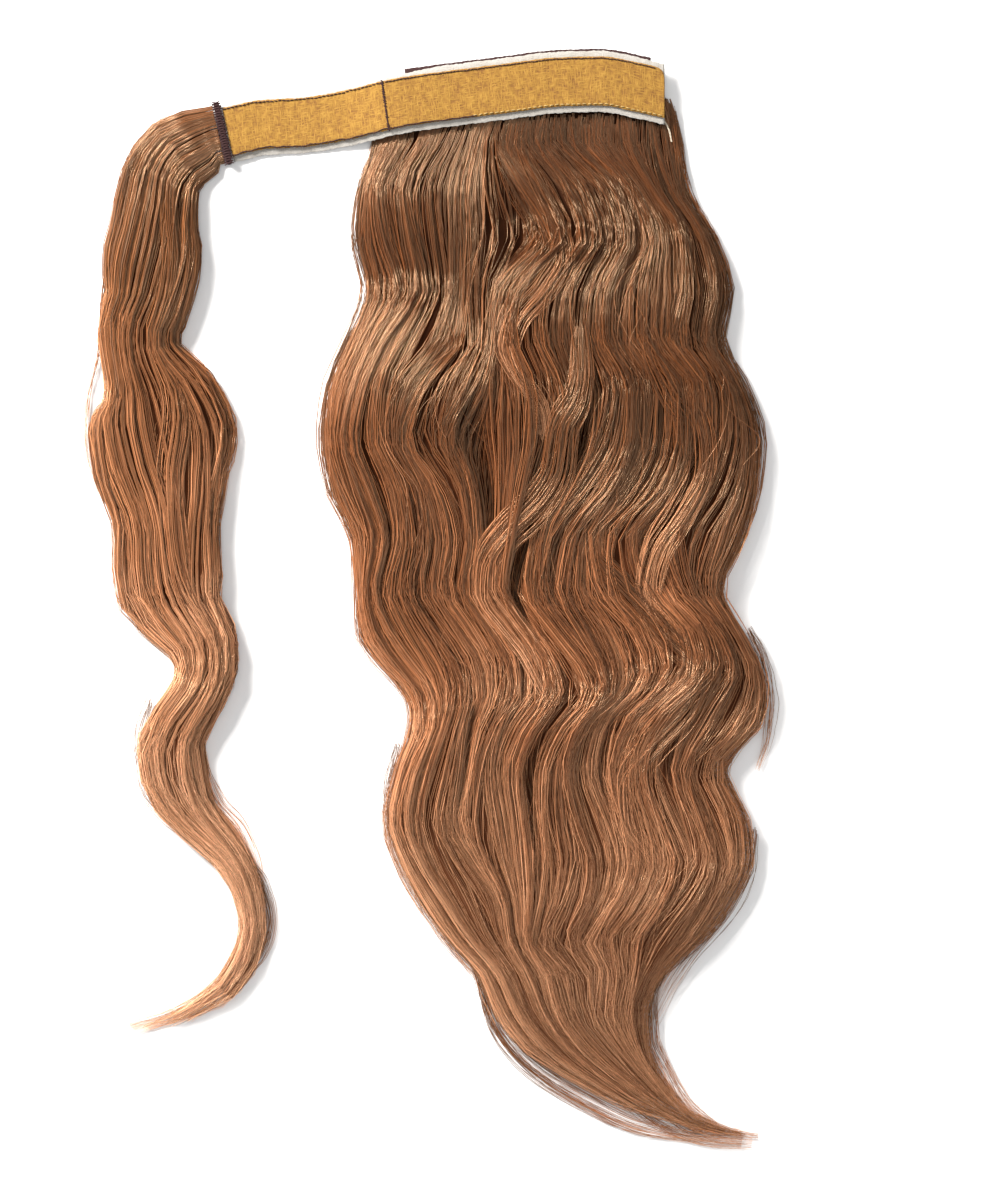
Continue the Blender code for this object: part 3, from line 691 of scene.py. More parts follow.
def strand_tree():
    """Strands that follow guides: each guide is copied, each copy moved aside and given its
    own wander, and swept with a three-sided section that narrows to the tip."""
    nodes, given = new_tree(
        "hair_strands",
        [
            ("Strands per Guide", "Int", 6),
            ("Spread", "Float", 0.0012),
            ("Radius", "Float", 0.00022),
            ("Tip Share", "Float", 0.35),
            ("Wander", "Float", 0.0012),
            ("Frizz", "Float", 0.0003),
            ("Tone Spread", "Float", 0.42),
            ("Seed", "Int", 1),
            ("Finish", "Material", None),
        ],
    )
    maths, times = nodes.maths, nodes.times
    guides = nodes.add("GeometryNodeMeshToCurve", Mesh=given["Geometry"])[0]
    copies = nodes.add(
        "GeometryNodeDuplicateElements", settings={"domain": "SPLINE"}, Geometry=guides,
        Amount=given["Strands per Guide"],
    )[0]
    jitter = nodes.add(
        "FunctionNodeRandomValue", (-1.0, -1.0, -1.0), (1.0, 1.0, 1.0),
        settings={"data_type": "FLOAT_VECTOR"}, ID=nodes.add("GeometryNodeInputIndex")[0],
        Seed=given["Seed"],
    )[0]
    capture = nodes.tree.nodes.new("GeometryNodeCaptureAttribute")
    capture.domain = "CURVE"
    capture.capture_items.new("VECTOR", "Jitter")
    nodes.put(capture.inputs["Geometry"], copies)
    nodes.put(capture.inputs["Jitter"], jitter)
    parted = nodes.add("ShaderNodeSeparateXYZ", capture.outputs["Jitter"])
    factor = nodes.add("GeometryNodeSplineParameter")["Factor"]
    tangent = nodes.add("GeometryNodeInputTangent")[0]
    side = nodes.vectors("NORMALIZE", nodes.vectors("CROSS_PRODUCT", tangent, (0.0, 0.0, 1.0)))

    def swing(pace, offset, size):
        """A slow random swing along each strand."""
        apart = maths("MULTIPLY_ADD", parted[2], STRAND_STRIDE, offset)
        value = nodes.noise(nodes.joined(times(factor, pace), apart), 1.0, 1.0)
        return times(maths("SUBTRACT", value, 0.5), size)

    sway = times(parted[0], given["Spread"])
    sway = maths("ADD", sway, swing(*SLOW_SWING, times(given["Wander"], 2.0)))
    sway = maths("ADD", sway, swing(*QUICK_SWING, times(given["Frizz"], 2.0)))
    rise = times(parted[1], times(given["Spread"], UPWARD_SHARE))
    rise = maths("ADD", rise, swing(*UPWARD_SWING, given["Wander"]))
    aside = nodes.vectors("SCALE", side, Scale=times(sway, nodes.named("loose")))
    upward = nodes.joined(None, None, times(rise, nodes.named("loose")))
    moved = nodes.add(
        "GeometryNodeSetPosition", Geometry=capture.outputs["Geometry"],
        Offset=nodes.vectors("ADD", aside, upward),
    )[0]
    narrow = nodes.add(
        "ShaderNodeMapRange", factor, NARROW_FROM, 1.0, 1.0, given["Tip Share"],
        settings={"interpolation_type": "SMOOTHSTEP"},
    )[0]
    size = maths("MULTIPLY_ADD", parted[2], RADIUS_SHARE, 1.0)
    size = times(times(size, given["Radius"]), narrow)
    tone = maths(
        "MULTIPLY_ADD", times(parted[0], parted[1]), times(given["Tone Spread"], TONE_GAIN),
        nodes.named("tone"),
    )
    toned = nodes.add("GeometryNodeStoreNamedAttribute", Geometry=moved, Name="tone", Value=tone)
    return nodes.finish(nodes.tube(toned[0], 3, size), given["Finish"])


def stitch_tree():
    """Stitches set at a pitch along a path: short bent threads that dip at their ends."""
    nodes, given = new_tree(
        "stitch_row",
        [
            ("Pitch", "Float", 0.002),
            ("Stitch Length", "Float", 0.0013),
            ("Radius", "Float", 0.0002),
            ("Arch", "Float", 0.0003),
            ("Turn", "Float", 0.0),
            ("Unevenness", "Float", 0.15),
            ("Seed", "Int", 1),
            ("Finish", "Material", None),
        ],
    )
    path = nodes.add("GeometryNodeMeshToCurve", Mesh=given["Geometry"])[0]
    steps = nodes.add(
        "GeometryNodeResampleCurve", settings={"mode": "LENGTH"}, Curve=path,
        Length=given["Pitch"],
    )[0]
    half = nodes.times(given["Stitch Length"], 0.5)
    dip = nodes.times(given["Arch"], -1.0)
    bend = nodes.add(
        "GeometryNodeCurveQuadraticBezier", Resolution=6,
        Start=nodes.joined(nodes.times(half, -1.0), None, dip),
        Middle=nodes.joined(None, None, given["Arch"]), End=nodes.joined(half, None, dip),
    )[0]
    tangent = nodes.add("GeometryNodeInputTangent")[0]
    facing = nodes.add(
        "FunctionNodeAlignRotationToVector", settings={"axis": "X"}, Vector=tangent
    )[0]
    least = nodes.times(given["Unevenness"], -1.0)
    uneven = nodes.add(
        "FunctionNodeRandomValue", None, None, least, given["Unevenness"], Seed=given["Seed"]
    )[1]
    spin = nodes.joined(None, None, nodes.maths("ADD", given["Turn"], uneven))
    turned = nodes.add(
        "FunctionNodeRotateRotation", facing, spin, settings={"rotation_space": "LOCAL"}
    )[0]
    placed = nodes.add(
        "GeometryNodeInstanceOnPoints", Points=steps, Rotation=turned,
        Instance=nodes.tube(bend, 6, given["Radius"]),
    )[0]
    return nodes.finish(placed, given["Finish"])


def run_tree(source, tree, name, **given):
    """A plain mesh object from a source object and a node tree with its inputs given. An
    input's name has _ for a blank."""
    modifier = source.modifiers.new(tree.name, "NODES")
    modifier.node_group = tree
    titles = {item.name: item.identifier for item in tree.interface.items_tree}
    for title, value in given.items():
        modifier[titles[title.replace("_", " ")]] = value
    graph = bpy.context.evaluated_depsgraph_get()
    mesh = bpy.data.meshes.new_from_object(source.evaluated_get(graph), depsgraph=graph)
    mesh.name = name
    bpy.data.objects.remove(source)
    return add_object(name, mesh)


# Materials

# How a strand's tone changes its colour
TONE_STOPS = [
    (0.00, (0.30, 0.24, 0.22)),
    (0.30, (0.66, 0.60, 0.58)),
    (0.55, (1.00, 0.98, 0.95)),
    (0.80, (1.38, 1.42, 1.42)),
    (1.00, (2.00, 2.15, 2.30)),
]
# How the under hair, darkened by painted shade, and the paler wrap lock differ from the ponytail's
# colours
UNDER_HAIR_PAINTED_SHADE = (0.55, 0.49, 0.46)
WRAP_GAIN = (1.30, 1.46, 1.62)
DULL_HAIR = {"Roughness": 0.7, "Specular_IOR_Level": 0.1}
GLOSSY_HAIR = {"Roughness": 0.29, "Specular_IOR_Level": 1.0}
CREAM = (0.34, 0.23, 0.09)
LOOSE_CREAM = (0.42, 0.36, 0.28)
PAPER_STOPS = [(0.0, (0.93, 0.93, 0.93)), (1.0, (0.97, 0.97, 0.97))]


def new_material(name, **values):
    """A material, its nodes and its shader, whose sockets are given their values. A socket's
    name has _ for a blank."""
    material = bpy.data.materials.new(name)
    material.use_nodes = True
    shader = material.node_tree.nodes["Principled BSDF"]
    for title, value in values.items():
        shader.inputs[title.replace("_", " ")].default_value = value
    return material, Nodes(material.node_tree), shader


def tinted(tint, gains):
    """A colour times a gain for each of its parts."""
    return tuple(part * gain for part, gain in zip(tint, gains))


def hair_material(name, settings, gain=None, values=GLOSSY_HAIR):
    """Hair's colour by its place along the strand and by each strand's own tone."""
    material, nodes, shader = new_material(
        name, IOR=1.85, Specular_Tint=(1.0, 0.64, 0.38, 1.0), **values
    )
    patch = nodes.maths("SUBTRACT", nodes.noise(nodes.object_place(), 26.0, 3.0), 0.5)
    faded = nodes.maths("MULTIPLY_ADD", patch, 0.5, nodes.attribute("along"))
    body = nodes.ramp(
        faded,
        [
            (0.00, settings.root_colour),
            (0.30, settings.middle_colour),
            (0.62, settings.length_colour),
            (1.00, settings.tip_colour),
        ],
    )
    tint = nodes.multiplied(body, nodes.ramp(nodes.attribute("tone"), TONE_STOPS))
    # A gain darkens the under hair with painted shade, or makes the wrap lock paler
    if gain:
        tint = nodes.multiplied(tint, gain)
    nodes.put(shader.inputs["Base Color"], tint)
    return material


def tape_material(settings):
    """Gold loop tape: uneven threads both ways, with painted shade in the gaps between the loops."""
    material, nodes, shader = new_material(
        "gold_loop_tape", Roughness=0.85, Sheen_Weight=0.35, Sheen_Roughness=0.45,
        Sheen_Tint=(1.0, 0.85, 0.55, 1.0),
    )
    lengthways, crossways = nodes.threads(300.0, 1500.0, 3.0), nodes.threads(1500.0, 240.0, 3.0)
    fibres = nodes.times(nodes.maths("MAXIMUM", lengthways, crossways), 0.80)
    blotch = nodes.noise(nodes.cloth_place(), 170.0, 4.0, 0.65)
    light = nodes.maths("MULTIPLY_ADD", blotch, 0.32, fibres)
    # The deep stop is the threads' uneven colour and painted shade in the gaps between loops
    deep = tinted(settings.tape_colour, (0.55, 0.42, 0.35))
    pale = tinted(settings.tape_colour, (1.25, 1.35, 1.9))
    stops = [(0.46, deep), (0.60, settings.tape_colour), (0.71, pale)]
    nodes.put(shader.inputs["Base Color"], nodes.ramp(light, stops))
    nodes.bump(shader, light, 0.0006)
    return material


def backing_material(settings):
    """Off-white ribbon with a fine weave."""
    material, nodes, shader = new_material("white_ribbon", Roughness=0.8, Sheen_Weight=0.2)
    lengthways, crossways = nodes.threads(350.0, 3200.0, 2.0), nodes.threads(3200.0, 350.0, 2.0)
    weave = nodes.maths("ADD", lengthways, crossways)
    blotch = nodes.times(nodes.noise(nodes.cloth_place(), 120.0, 3.0), 0.35)
    light = nodes.maths("MULTIPLY_ADD", weave, 0.35, blotch)
    dull = tinted(settings.backing_colour, (0.78, 0.75, 0.70))
    stops = [(0.35, dull), (0.62, settings.backing_colour)]
    nodes.put(shader.inputs["Base Color"], nodes.ramp(light, stops))
    nodes.bump(shader, weave, 0.0003)
    return material


def thread_material(name, tint):
    """Twisted thread, a little lighter on its fibres."""
    material, nodes, shader = new_material(name, Roughness=0.75, Specular_IOR_Level=0.12)
    fibres = nodes.noise(nodes.object_place(), 2600.0)
    stops = [(0.3, tinted(tint, (0.6, 0.6, 0.6))), (0.7, tinted(tint, (1.7, 1.7, 1.7)))]
    nodes.put(shader.inputs["Base Color"], nodes.ramp(fibres, stops))
    nodes.bump(shader, fibres, 0.0001)
    return material


# Settings


def length_setting(name, description, default):
    """A length in metres for the add-on's settings."""
    return bpy.props.FloatProperty(
        name=name, description=description, default=default, unit="LENGTH", precision=5
    )


def count_setting(name, description, default, least):
    """A whole number for the add-on's settings."""
    return bpy.props.IntProperty(name=name, description=description, default=default, min=least)


def colour_setting(name, description, default):
    """A colour for the add-on's settings."""
    return bpy.props.FloatVectorProperty(
        name=name, description=description, default=default, size=3, subtype="COLOR",
        min=0.0, max=4.0,
    )


class HairpieceHairSettings(bpy.types.PropertyGroup):
    """Sizes and colours of the hair"""

    strand_radius: length_setting("Strand Radius", "Radius of one strand", 0.00018)
    strand_spread: length_setting("Strand Spread", "How far strands lie from their guide", 0.0015)
    strand_wander: length_setting("Strand Wander", "How far a strand swings", 0.0013)
    strand_frizz: length_setting("Strand Frizz", "How far a strand's small kinks reach", 0.00022)
    guides: count_setting("Guides", "Guides of the ponytail", 555, 20)
    wrap_guides: count_setting("Wrap Guides", "Guides of the wrap lock", 150, 20)
    strands_per_guide: count_setting("Strands per Guide", "Strands that follow each guide", 4, 1)
    root_colour: colour_setting("Root Colour", "Hair at the strap", (0.060, 0.013, 0.002))
    middle_colour: colour_setting("Middle Colour", "Hair below the strap", (0.112, 0.030, 0.007))
    length_colour: colour_setting("Length Colour", "Hair along its length", (0.262, 0.090, 0.034))
    tip_colour: colour_setting("Tip Colour", "Hair at its tips", (0.520, 0.250, 0.128))


class HairpieceStrapSettings(bpy.types.PropertyGroup):
    """Sizes and colours of the strap"""

    stitch_pitch: length_setting("Stitch Pitch", "From one stitch to the next", 0.0021)
    stitch_length: length_setting("Stitch Length", "Length of a stitch that shows", 0.0015)
    thread_radius: length_setting("Thread Radius", "Radius of the sewing thread", 0.00030)
    tape_colour: colour_setting("Tape Colour", "The loop tape", (0.268, 0.130, 0.012))
    backing_colour: colour_setting("Backing Colour", "The backing ribbon", (0.42, 0.40, 0.37))
    thread_colour: colour_setting("Thread Colour", "The sewing thread", (0.036, 0.017, 0.017))


# Hair

# Splits: how their opening is shaped along them, how far they push strands aside as a share of
# their width, and how much narrower their floor is
SPLIT_POWER, SPLIT_PUSH, SPLIT_FLOOR = 0.7, 0.35, 0.8
# The ponytail's locks: how far they lie off their places, and their widths as shares of a lock's,
# heights over the surface in metres and tones
LOCK_OFFSET = (-0.28, 0.28)
LOCK_WIDTH = (0.75, 1.35)
LOCK_HEIGHT = (-0.0018, 0.0016)
LOCK_TONE = (-0.15, 0.15)
# Waves of the locks and of their guides: a size, as a share, and waves along the ponytail
BREATHE, BREATHE_WAVES = 0.30, 2.1
WANDER, WANDER_WAVES = 0.75, 1.3
DRIFT, DRIFT_WAVES = 0.006, 2.7
EDGE_DRIFT, EDGE_DRIFT_WAVES = 0.012, 1.7
# How high a lock's crown rises over its sides, and how deep its sides lie, in metres
CROWN_RISE, CROWN_SINK = 0.0026, 0.0012
# Middle tones of strands, how far tones vary, and the depth from which painted shade darkens strands,
# and how much
LOCK_MIDDLE, EDGE_MIDDLE, FLYAWAY_MIDDLE = 0.47, 0.50, 0.60
TONE_VARIES, EDGE_TONE_VARIES, WISP_TONE_VARIES = 0.11, 0.10, 0.09
DEEP, DEEP_PAINTED_SHADE = 0.0015, 0.10
# Guides past this share across start beyond the strap's end
BEYOND_STRAP = 0.93
# The wrap lock's locks, in the same way, and how far they crowd towards its edges
WRAP_MIDDLE = 0.50
WRAP_LOCK_HEIGHT = (-0.0008, 0.0010)
WRAP_LOCK_TONE = (-0.12, 0.12)
WRAP_SWAY, WRAP_SWAY_WAVES = 0.12, 2.2
WRAP_CROWN_RISE, WRAP_CROWN_SINK = 0.0022, 0.0010
WRAP_CROWDING = 1.15


def split_effect(across, rows):
    """How the splits move strands aside and press them down, for arrays of places."""
    aside = np.zeros_like(across)
    press = np.zeros_like(across)
    for split in SPLITS:
        run = np.clip((rows - split.first) / (split.last - split.first), 0, 1)
        opening = np.sin(np.pi * run) ** SPLIT_POWER
        middle = split.start + (split.finish - split.start) * run
        away = (across - middle) / split.width
        near = np.exp(-(away**2)) * opening
        aside += np.tanh(3 * away) * near * split.width * SPLIT_PUSH
        press += np.exp(-((away / SPLIT_FLOOR) ** 2)) * opening * split.depth
    return aside, press


def strand_points(across, rows, depth, crown, fall):
    """Points of guides over the ponytail, from their places in its flow, and how freely their
    strands may spread there."""
    aside, press = split_effect(across, rows)
    across = across + aside
    x, y, top = hair_places(across, rows)
    along = row_share(rows)
    edge = inset(across, 0.03)
    z = top + (crown - depth) * np.clip(along * 9 - 0.25, 0, 1) - press
    z = np.maximum(z * (edge + (1 - edge) * fall), STRAND_FLOOR)
    return np.stack([x, y, z], 2), np.clip(0.25 + along * 6, 0.25, 1.0)


def guide_rows(rng, count, end_range, beyond):
    """Rows that each guide passes, from under the strap to where its strands end. Guides
    beyond the strap's end start a little higher."""
    start = START_ROW + START_SPREAD * rng.uniform(-1, 0, (count, 1)) - START_RISE * beyond
    end = FIRST_ROW + rng.uniform(*end_range, (count, 1)) * (LAST_ROW - FIRST_ROW)
    return start + (end - start) * RUN


def lock_guides(count, seed, depth_range, end_range):
    """Guides of the ponytail: each belongs to a lock, whose guides lie over its crown."""
    rng = np.random.default_rng(seed)
    lock_rng = np.random.default_rng(HAIR_SEED)
    centres = (np.arange(LOCKS) + 0.5 + lock_rng.uniform(*LOCK_OFFSET, LOCKS)) / LOCKS
    widths = lock_rng.uniform(*LOCK_WIDTH, LOCKS) / LOCKS
    heights = lock_rng.uniform(*LOCK_HEIGHT, LOCKS)
    tones = lock_rng.uniform(*LOCK_TONE, LOCKS)
    swings = lock_rng.uniform(0, 1, (LOCKS, 2))

    lock = rng.integers(0, LOCKS, (count, 1))
    lean = rng.uniform(-1, 1, (count, 1))
    rows = guide_rows(rng, count, end_range, centres[lock] > BEYOND_STRAP)
    along = row_share(rows)
    breathe = 1 + BREATHE * wave(BREATHE_WAVES * along + swings[lock, 0])
    wander = WANDER / LOCKS * wave(WANDER_WAVES * along + swings[lock, 1])
    across = centres[lock] + wander + lean * widths[lock] * breathe
    drift = rng.uniform(0, 1, (count, 1))
    across += DRIFT * wave(DRIFT_WAVES * along + drift)
    across = np.clip(across, -DRIFT + 0.02 * drift, 1 + DRIFT - 0.02 * drift)
    depth = rng.uniform(*depth_range, (count, 1))
    crown = (heights[lock] + CROWN_RISE) * (1 - lean**2) - CROWN_SINK
    fall = rng.uniform(0.1, 1.0, (count, 1))
    points, loose = strand_points(across, rows, depth, crown, fall)
    tone = LOCK_MIDDLE + tones[lock[:, 0]] + rng.normal(0, TONE_VARIES, count)
    # Strands that lie deep are darkened by painted shade
    return points, tone - DEEP_PAINTED_SHADE * (depth[:, 0] > DEEP), loose


def edge_guides(count, seed):
    """Guides along the ponytail's two edges, which cover its sides down to the table."""
    rng = np.random.default_rng(seed)
    right = np.arange(count)[:, None] % 2
    rows = guide_rows(rng, count, (0.70, 1.0), right)
    drift = rng.uniform(0, 1, (count, 1))
    inward = rng.uniform(-EDGE_DRIFT, 0.030, (count, 1))
    inward = inward + EDGE_DRIFT * wave(EDGE_DRIFT_WAVES * row_share(rows) + drift)
    across = np.where(right == 1, 1 - inward, inward)
    fall = rng.uniform(0.05, 0.9, (count, 1))
    points, loose = strand_points(across, rows, 0.0008, 0.0, fall)
    return points, EDGE_MIDDLE + rng.normal(0, EDGE_TONE_VARIES, count), loose


def path_guides(wisp, rng):
    """Guides that follow a lock or wisp drawn over the photograph, spread over its width."""
    column = wisp.strands, 1
    path, left = path_points(wisp.points, STATIONS)
    spread = (0.35 + 0.65 * np.sin(np.pi * RUN * 0.95) ** 0.7) * wisp.spread
    lean = rng.uniform(-1, 1, column)
    cross = rng.uniform(-0.3, 0.3, column) * wave(RUN + rng.uniform(0, 1, column))
    offset = (lean + cross) * spread
    slide = rng.uniform(-0.02, 0.02, column)
    columns = path[:, 0] + left[:, 0] * offset
    rows = path[:, 1] + left[:, 1] * offset + slide * np.ptp(path[:, 1])
    if wisp.height >= 0:
        surface = surface_height(columns.ravel(), rows.ravel()).reshape(columns.shape)
        arch = np.sin(np.pi * RUN) ** 0.6
        z = surface + (wisp.height * (1 - lean**2) + 0.0004) * arch + 0.0002
    else:
        z = -wisp.height * (1 - 0.6 * RUN) * rng.uniform(0.4, 1.0, column)
    return np.stack([*photo_places(columns, rows), np.maximum(z, WISP_FLOOR)], 2)


def wrap_guides(count, seed, depth_range, end_range):
    """Guides of the wrap lock, which cross over each other a little as they turn."""
    rng = np.random.default_rng(seed)
    lock_rng = np.random.default_rng(HAIR_SEED + 1)
    centres = (np.arange(WRAP_LOCKS) + 0.5) / WRAP_LOCKS * 2 - 1
    tones = lock_rng.uniform(*WRAP_LOCK_TONE, WRAP_LOCKS)
    swings = lock_rng.uniform(0, 1, WRAP_LOCKS)
    heights = lock_rng.uniform(*WRAP_LOCK_HEIGHT, WRAP_LOCKS)

    lock = rng.integers(0, WRAP_LOCKS, (count, 1))
    lean = rng.uniform(-1, 1, (count, 1))
    end = rng.uniform(*end_range, (count, 1))
    along = WRAP_START + (end - WRAP_START) * RUN**1.35
    sway = WRAP_SWAY * wave(WRAP_SWAY_WAVES * along + swings[lock]) * np.clip(along * 14, 0, 1)
    across = centres[lock] * 0.86 + sway + lean * 1.7 / WRAP_LOCKS
    across = np.tanh(across * WRAP_CROWDING) / np.tanh(WRAP_CROWDING)
    x, y, top = wrap_places(across, along)
    depth = rng.uniform(*depth_range, (count, 1))
    crown = (heights[lock] + WRAP_CROWN_RISE) * (1 - lean**2) - WRAP_CROWN_SINK
    edge = np.clip((1 - np.abs(across)) / 0.12, 0, 1)
    fall = rng.uniform(0.05, 1.0, (count, 1))
    z = (top + (crown - depth) * np.clip(along * 16, 0, 1)) * (edge + (1 - edge) * fall)
    tone = WRAP_MIDDLE + tones[lock[:, 0]] + rng.normal(0, TONE_VARIES, count)
    points = np.stack([x, y, np.maximum(z, WISP_FLOOR)], 2)
    return points, tone, np.clip(0.2 + along * 9, 0.2, 1.0)


def flyaways(count, seed):
    """Single strands that stray over the ponytail's surface."""
    rng = np.random.default_rng(seed)

    def draw(low, high):
        """Even random numbers between two limits, one for each strand."""
        return rng.uniform(low, high, (count, 1))

    rows = np.minimum(draw(150, 800) + draw(90, 300) * RUN, LAST_ROW - 20)
    across = draw(0.03, 0.97) + draw(-0.10, 0.10) * RUN
    across += 0.03 * wave(RUN * draw(0.5, 1.4) + draw(0, 1))
    x, y, top = hair_places(np.clip(across, -0.02, 1.02), rows)
    z = top + 0.0012 + 0.0010 * np.sin(np.pi * RUN)
    tone = FLYAWAY_MIDDLE + rng.normal(0, EDGE_TONE_VARIES, count)
    return np.stack([x, y, z], 2), tone, 1.0


def strands(name, guides, settings, material, tree, seed, **changes):
    """Strands as one mesh piece, grown along guides by the node tree."""
    given = {
        "Strands_per_Guide": settings.strands_per_guide,
        "Spread": settings.strand_spread,
        "Radius": settings.strand_radius,
        "Wander": settings.strand_wander,
        "Frizz": settings.strand_frizz,
        **changes,
    }
    source = guide_object(name + "_guides", *guides)
    return keep(run_tree(source, tree, name, Seed=seed, Finish=material, **given), "hair")


def wisp_strands(name, wisps, settings, material, tree, seed, tone, thin=0.75):
    """The strands of several drawn locks or wisps, as one piece."""
    rng = np.random.default_rng(seed)
    points = np.concatenate([path_guides(wisp, rng) for wisp in wisps])
    guides = points, tone + rng.normal(0, WISP_TONE_VARIES, len(points)), 1.0
    return strands(
        name, guides, settings, material, tree, seed,
        Strands_per_Guide=2, Spread=0.0010, Radius=settings.strand_radius * thin,
    )


def hair_body(name, places, along, across, lower_skip, material, tone):
    """The mass of hair under the strands, closed and level where it lies on the table."""
    x, y, z = places
    upper = np.arange(x.shape[1])
    ring = np.concatenate([upper, upper[::-lower_skip]])
    level = np.arange(len(ring)) >= len(upper)
    rings = np.stack([x[:, ring], y[:, ring], np.where(level, 0.0, z[:, ring])], 2)
    made = closed_grid(name, rings, material, along[:, ring], across[:, ring])
    # The mass's low tone darkens it further with painted shade
    set_attribute(made.data, "tone", np.full(len(made.data.vertices), tone))
    return made


def ponytail_body(material):
    """The ponytail's mass under its strands, with ridges for its locks."""
    across, rows = np.meshgrid(
        np.linspace(0.012, 0.988, 110), np.linspace(FIRST_ROW + 8, LAST_ROW - 40, 120)
    )
    x, y, top = hair_places(across, rows)
    along = row_share(rows)
    ridges = 0.5 * wave(LOCKS * across + 0.4 * np.sin(7 * along))
    ridges += 0.3 * wave(61 * across + along)
    z = top * 0.93 - 0.0018 + 0.0005 * ridges * np.clip(along * 8, 0, 1)
    z = (z - split_effect(across, rows)[1]) * (0.35 + 0.65 * inset(across, 0.04))
    places = x, y, np.maximum(z, 0.0008)
    return hair_body("ponytail_under_hair", places, along, across, 6, material, 0.2)


def wrap_body(material):
    """The wrap lock's mass under its strands, with ridges that turn."""
    across, along = np.meshgrid(np.linspace(-0.93, 0.93, 44), np.linspace(0.0, 0.955, 120))
    x, y, top = wrap_places(across, along)
    ridges = np.sin(np.pi * (WRAP_LOCKS * across + np.sin(9 * along)))
    z = top * 0.9 - 0.0012 + 0.0004 * ridges * np.clip(along * 12, 0, 1)
    z = z * (0.35 + 0.65 * np.clip((1 - np.abs(across)) / 0.2, 0, 1))
    places = x, y, np.maximum(z, 0.0007)
    return hair_body("wrap_under_hair", places, along, across, 4, material, 0.25)


# Layers of the ponytail's strands: a name, a share of the guides, how deep they lie and where
# they end. The wrap lock's have no share, and a spread.
HAIR_LAYERS = [
    ("low", 0.28, (0.0014, 0.0036), (0.84, 1.0)),
    ("middle", 0.32, (0.0004, 0.0016), (0.80, 1.0)),
    ("top", 0.30, (-0.0002, 0.0006), (0.76, 0.99)),
]
WRAP_LAYERS = [
    ("low", (0.0006, 0.0026), (0.88, 1.0), 0.0009),
    ("top", (-0.0002, 0.0007), (0.80, 0.99), 0.0008),
]


class HAIRPIECE_OT_ponytail(bpy.types.Operator):
    """Make the ponytail's hair"""

    bl_idname = "hairpiece.ponytail"
    bl_label = "Ponytail Hair"

    def execute(self, context):
        settings = context.scene.hairpiece_hair
        finish = hair_material("ponytail_strands", settings)
        given = settings, finish, strand_tree()
        for i, (layer, share, depth_range, end_range) in enumerate(HAIR_LAYERS):
            guides = lock_guides(int(settings.guides * share), 17 + i, depth_range, end_range)
            strands(f"hair_strands_{layer}", guides, *given, i + 1)
        edge = edge_guides(int(settings.guides * 0.12), 20)
        strands("hair_strands_edge", edge, *given, 4, Spread=0.0014)
        wisp_strands("hair_over_locks", OVER_LOCKS, *given, 5, 0.56, 1.0)
        wisp_strands("hair_wisps", WISPS, *given, 6, 0.58)
        thin = settings.strand_radius * 0.6
        strands("hair_flyaways", flyaways(70, 21), *given, 7, Strands_per_Guide=1, Radius=thin)
        # The mass under the strands, darkened by painted shade
        under = hair_material("ponytail_shade", settings, UNDER_HAIR_PAINTED_SHADE, DULL_HAIR)
        keep(ponytail_body(under), "hair", "ponytail_hair")
        return {"FINISHED"}


class HAIRPIECE_OT_wrap(bpy.types.Operator):
    """Make the wrap lock's hair"""

    bl_idname = "hairpiece.wrap"
    bl_label = "Wrap Lock"

    def execute(self, context):
        settings = context.scene.hairpiece_hair
        finish = hair_material("wrap_strands", settings, WRAP_GAIN)
        given = settings, finish, strand_tree()
        for i, (layer, depth_range, end_range, spread) in enumerate(WRAP_LAYERS):
            guides = wrap_guides(settings.wrap_guides // 2, 31 + i, depth_range, end_range)
            strands(f"wrap_strands_{layer}", guides, *given, 11 + i, Spread=spread)
        wisp_strands("wrap_wisps", WRAP_WISPS, *given, 13, 0.60)
        # The mass under the strands, darkened by painted shade
        under = hair_material("wrap_shade", settings, UNDER_HAIR_PAINTED_SHADE, DULL_HAIR)
        keep(wrap_body(under), "hair", "wrap_lock")
        return {"FINISHED"}


# The strap

CLOTH_STATIONS = 200
CLOTH_COLUMNS = 28


def waver(where, seed, wavelengths):
    """A smooth irregular run from about -1 to 1, for an array of metres."""
    rng = np.random.default_rng(seed)
    total = np.zeros_like(where)
    for wavelength in wavelengths:
        total += wave(where / wavelength + rng.uniform())
    return total / len(wavelengths)


def strap_cloth(name, start, end, low, high, height, thickness, rough, seed, material):
    """A thin closed cloth along the strap, from a lower edge in metres to an upper one that is
    worked out along it."""
    along = np.linspace(start, end, CLOTH_STATIONS)
    where = along * STRAP_LENGTH
    low = low + rough * waver(where, seed, (0.0021, 0.0047, 0.013))
    high = high(along) + rough * waver(where, seed + 1, (0.0023, 0.0051, 0.015))
    upper = 0.5 - 0.5 * np.cos(np.pi * np.linspace(0, 1, CLOTH_COLUMNS))
    share = np.concatenate([upper, upper[::-2]])
    face = np.arange(len(share)) < CLOTH_COLUMNS
    rolled = np.abs(2 * share - 1) ** 14 * np.where(face, -1, 1)
    ripple = 0.00012 * waver(where, seed + 2, (0.006, 0.017, 0.05))[:, None]
    sideways = low[:, None] + (high - low)[:, None] * share
    z = height + thickness * face + 0.35 * thickness * rolled + ripple * face
    rings = strap_places(np.broadcast_to(along[:, None], z.shape), sideways, z)
    return closed_grid(name, rings, material, np.broadcast_to(where[:, None], z.shape), sideways)


def backing_top(along):
    """The backing's upper edge."""
    brim = read_rows(STRAP_SECTIONS, ["brim"], along)[:, 0]
    return TAPE_WIDTH / 2 + (BACKING_WIDTH - TAPE_WIDTH) / 2 * brim


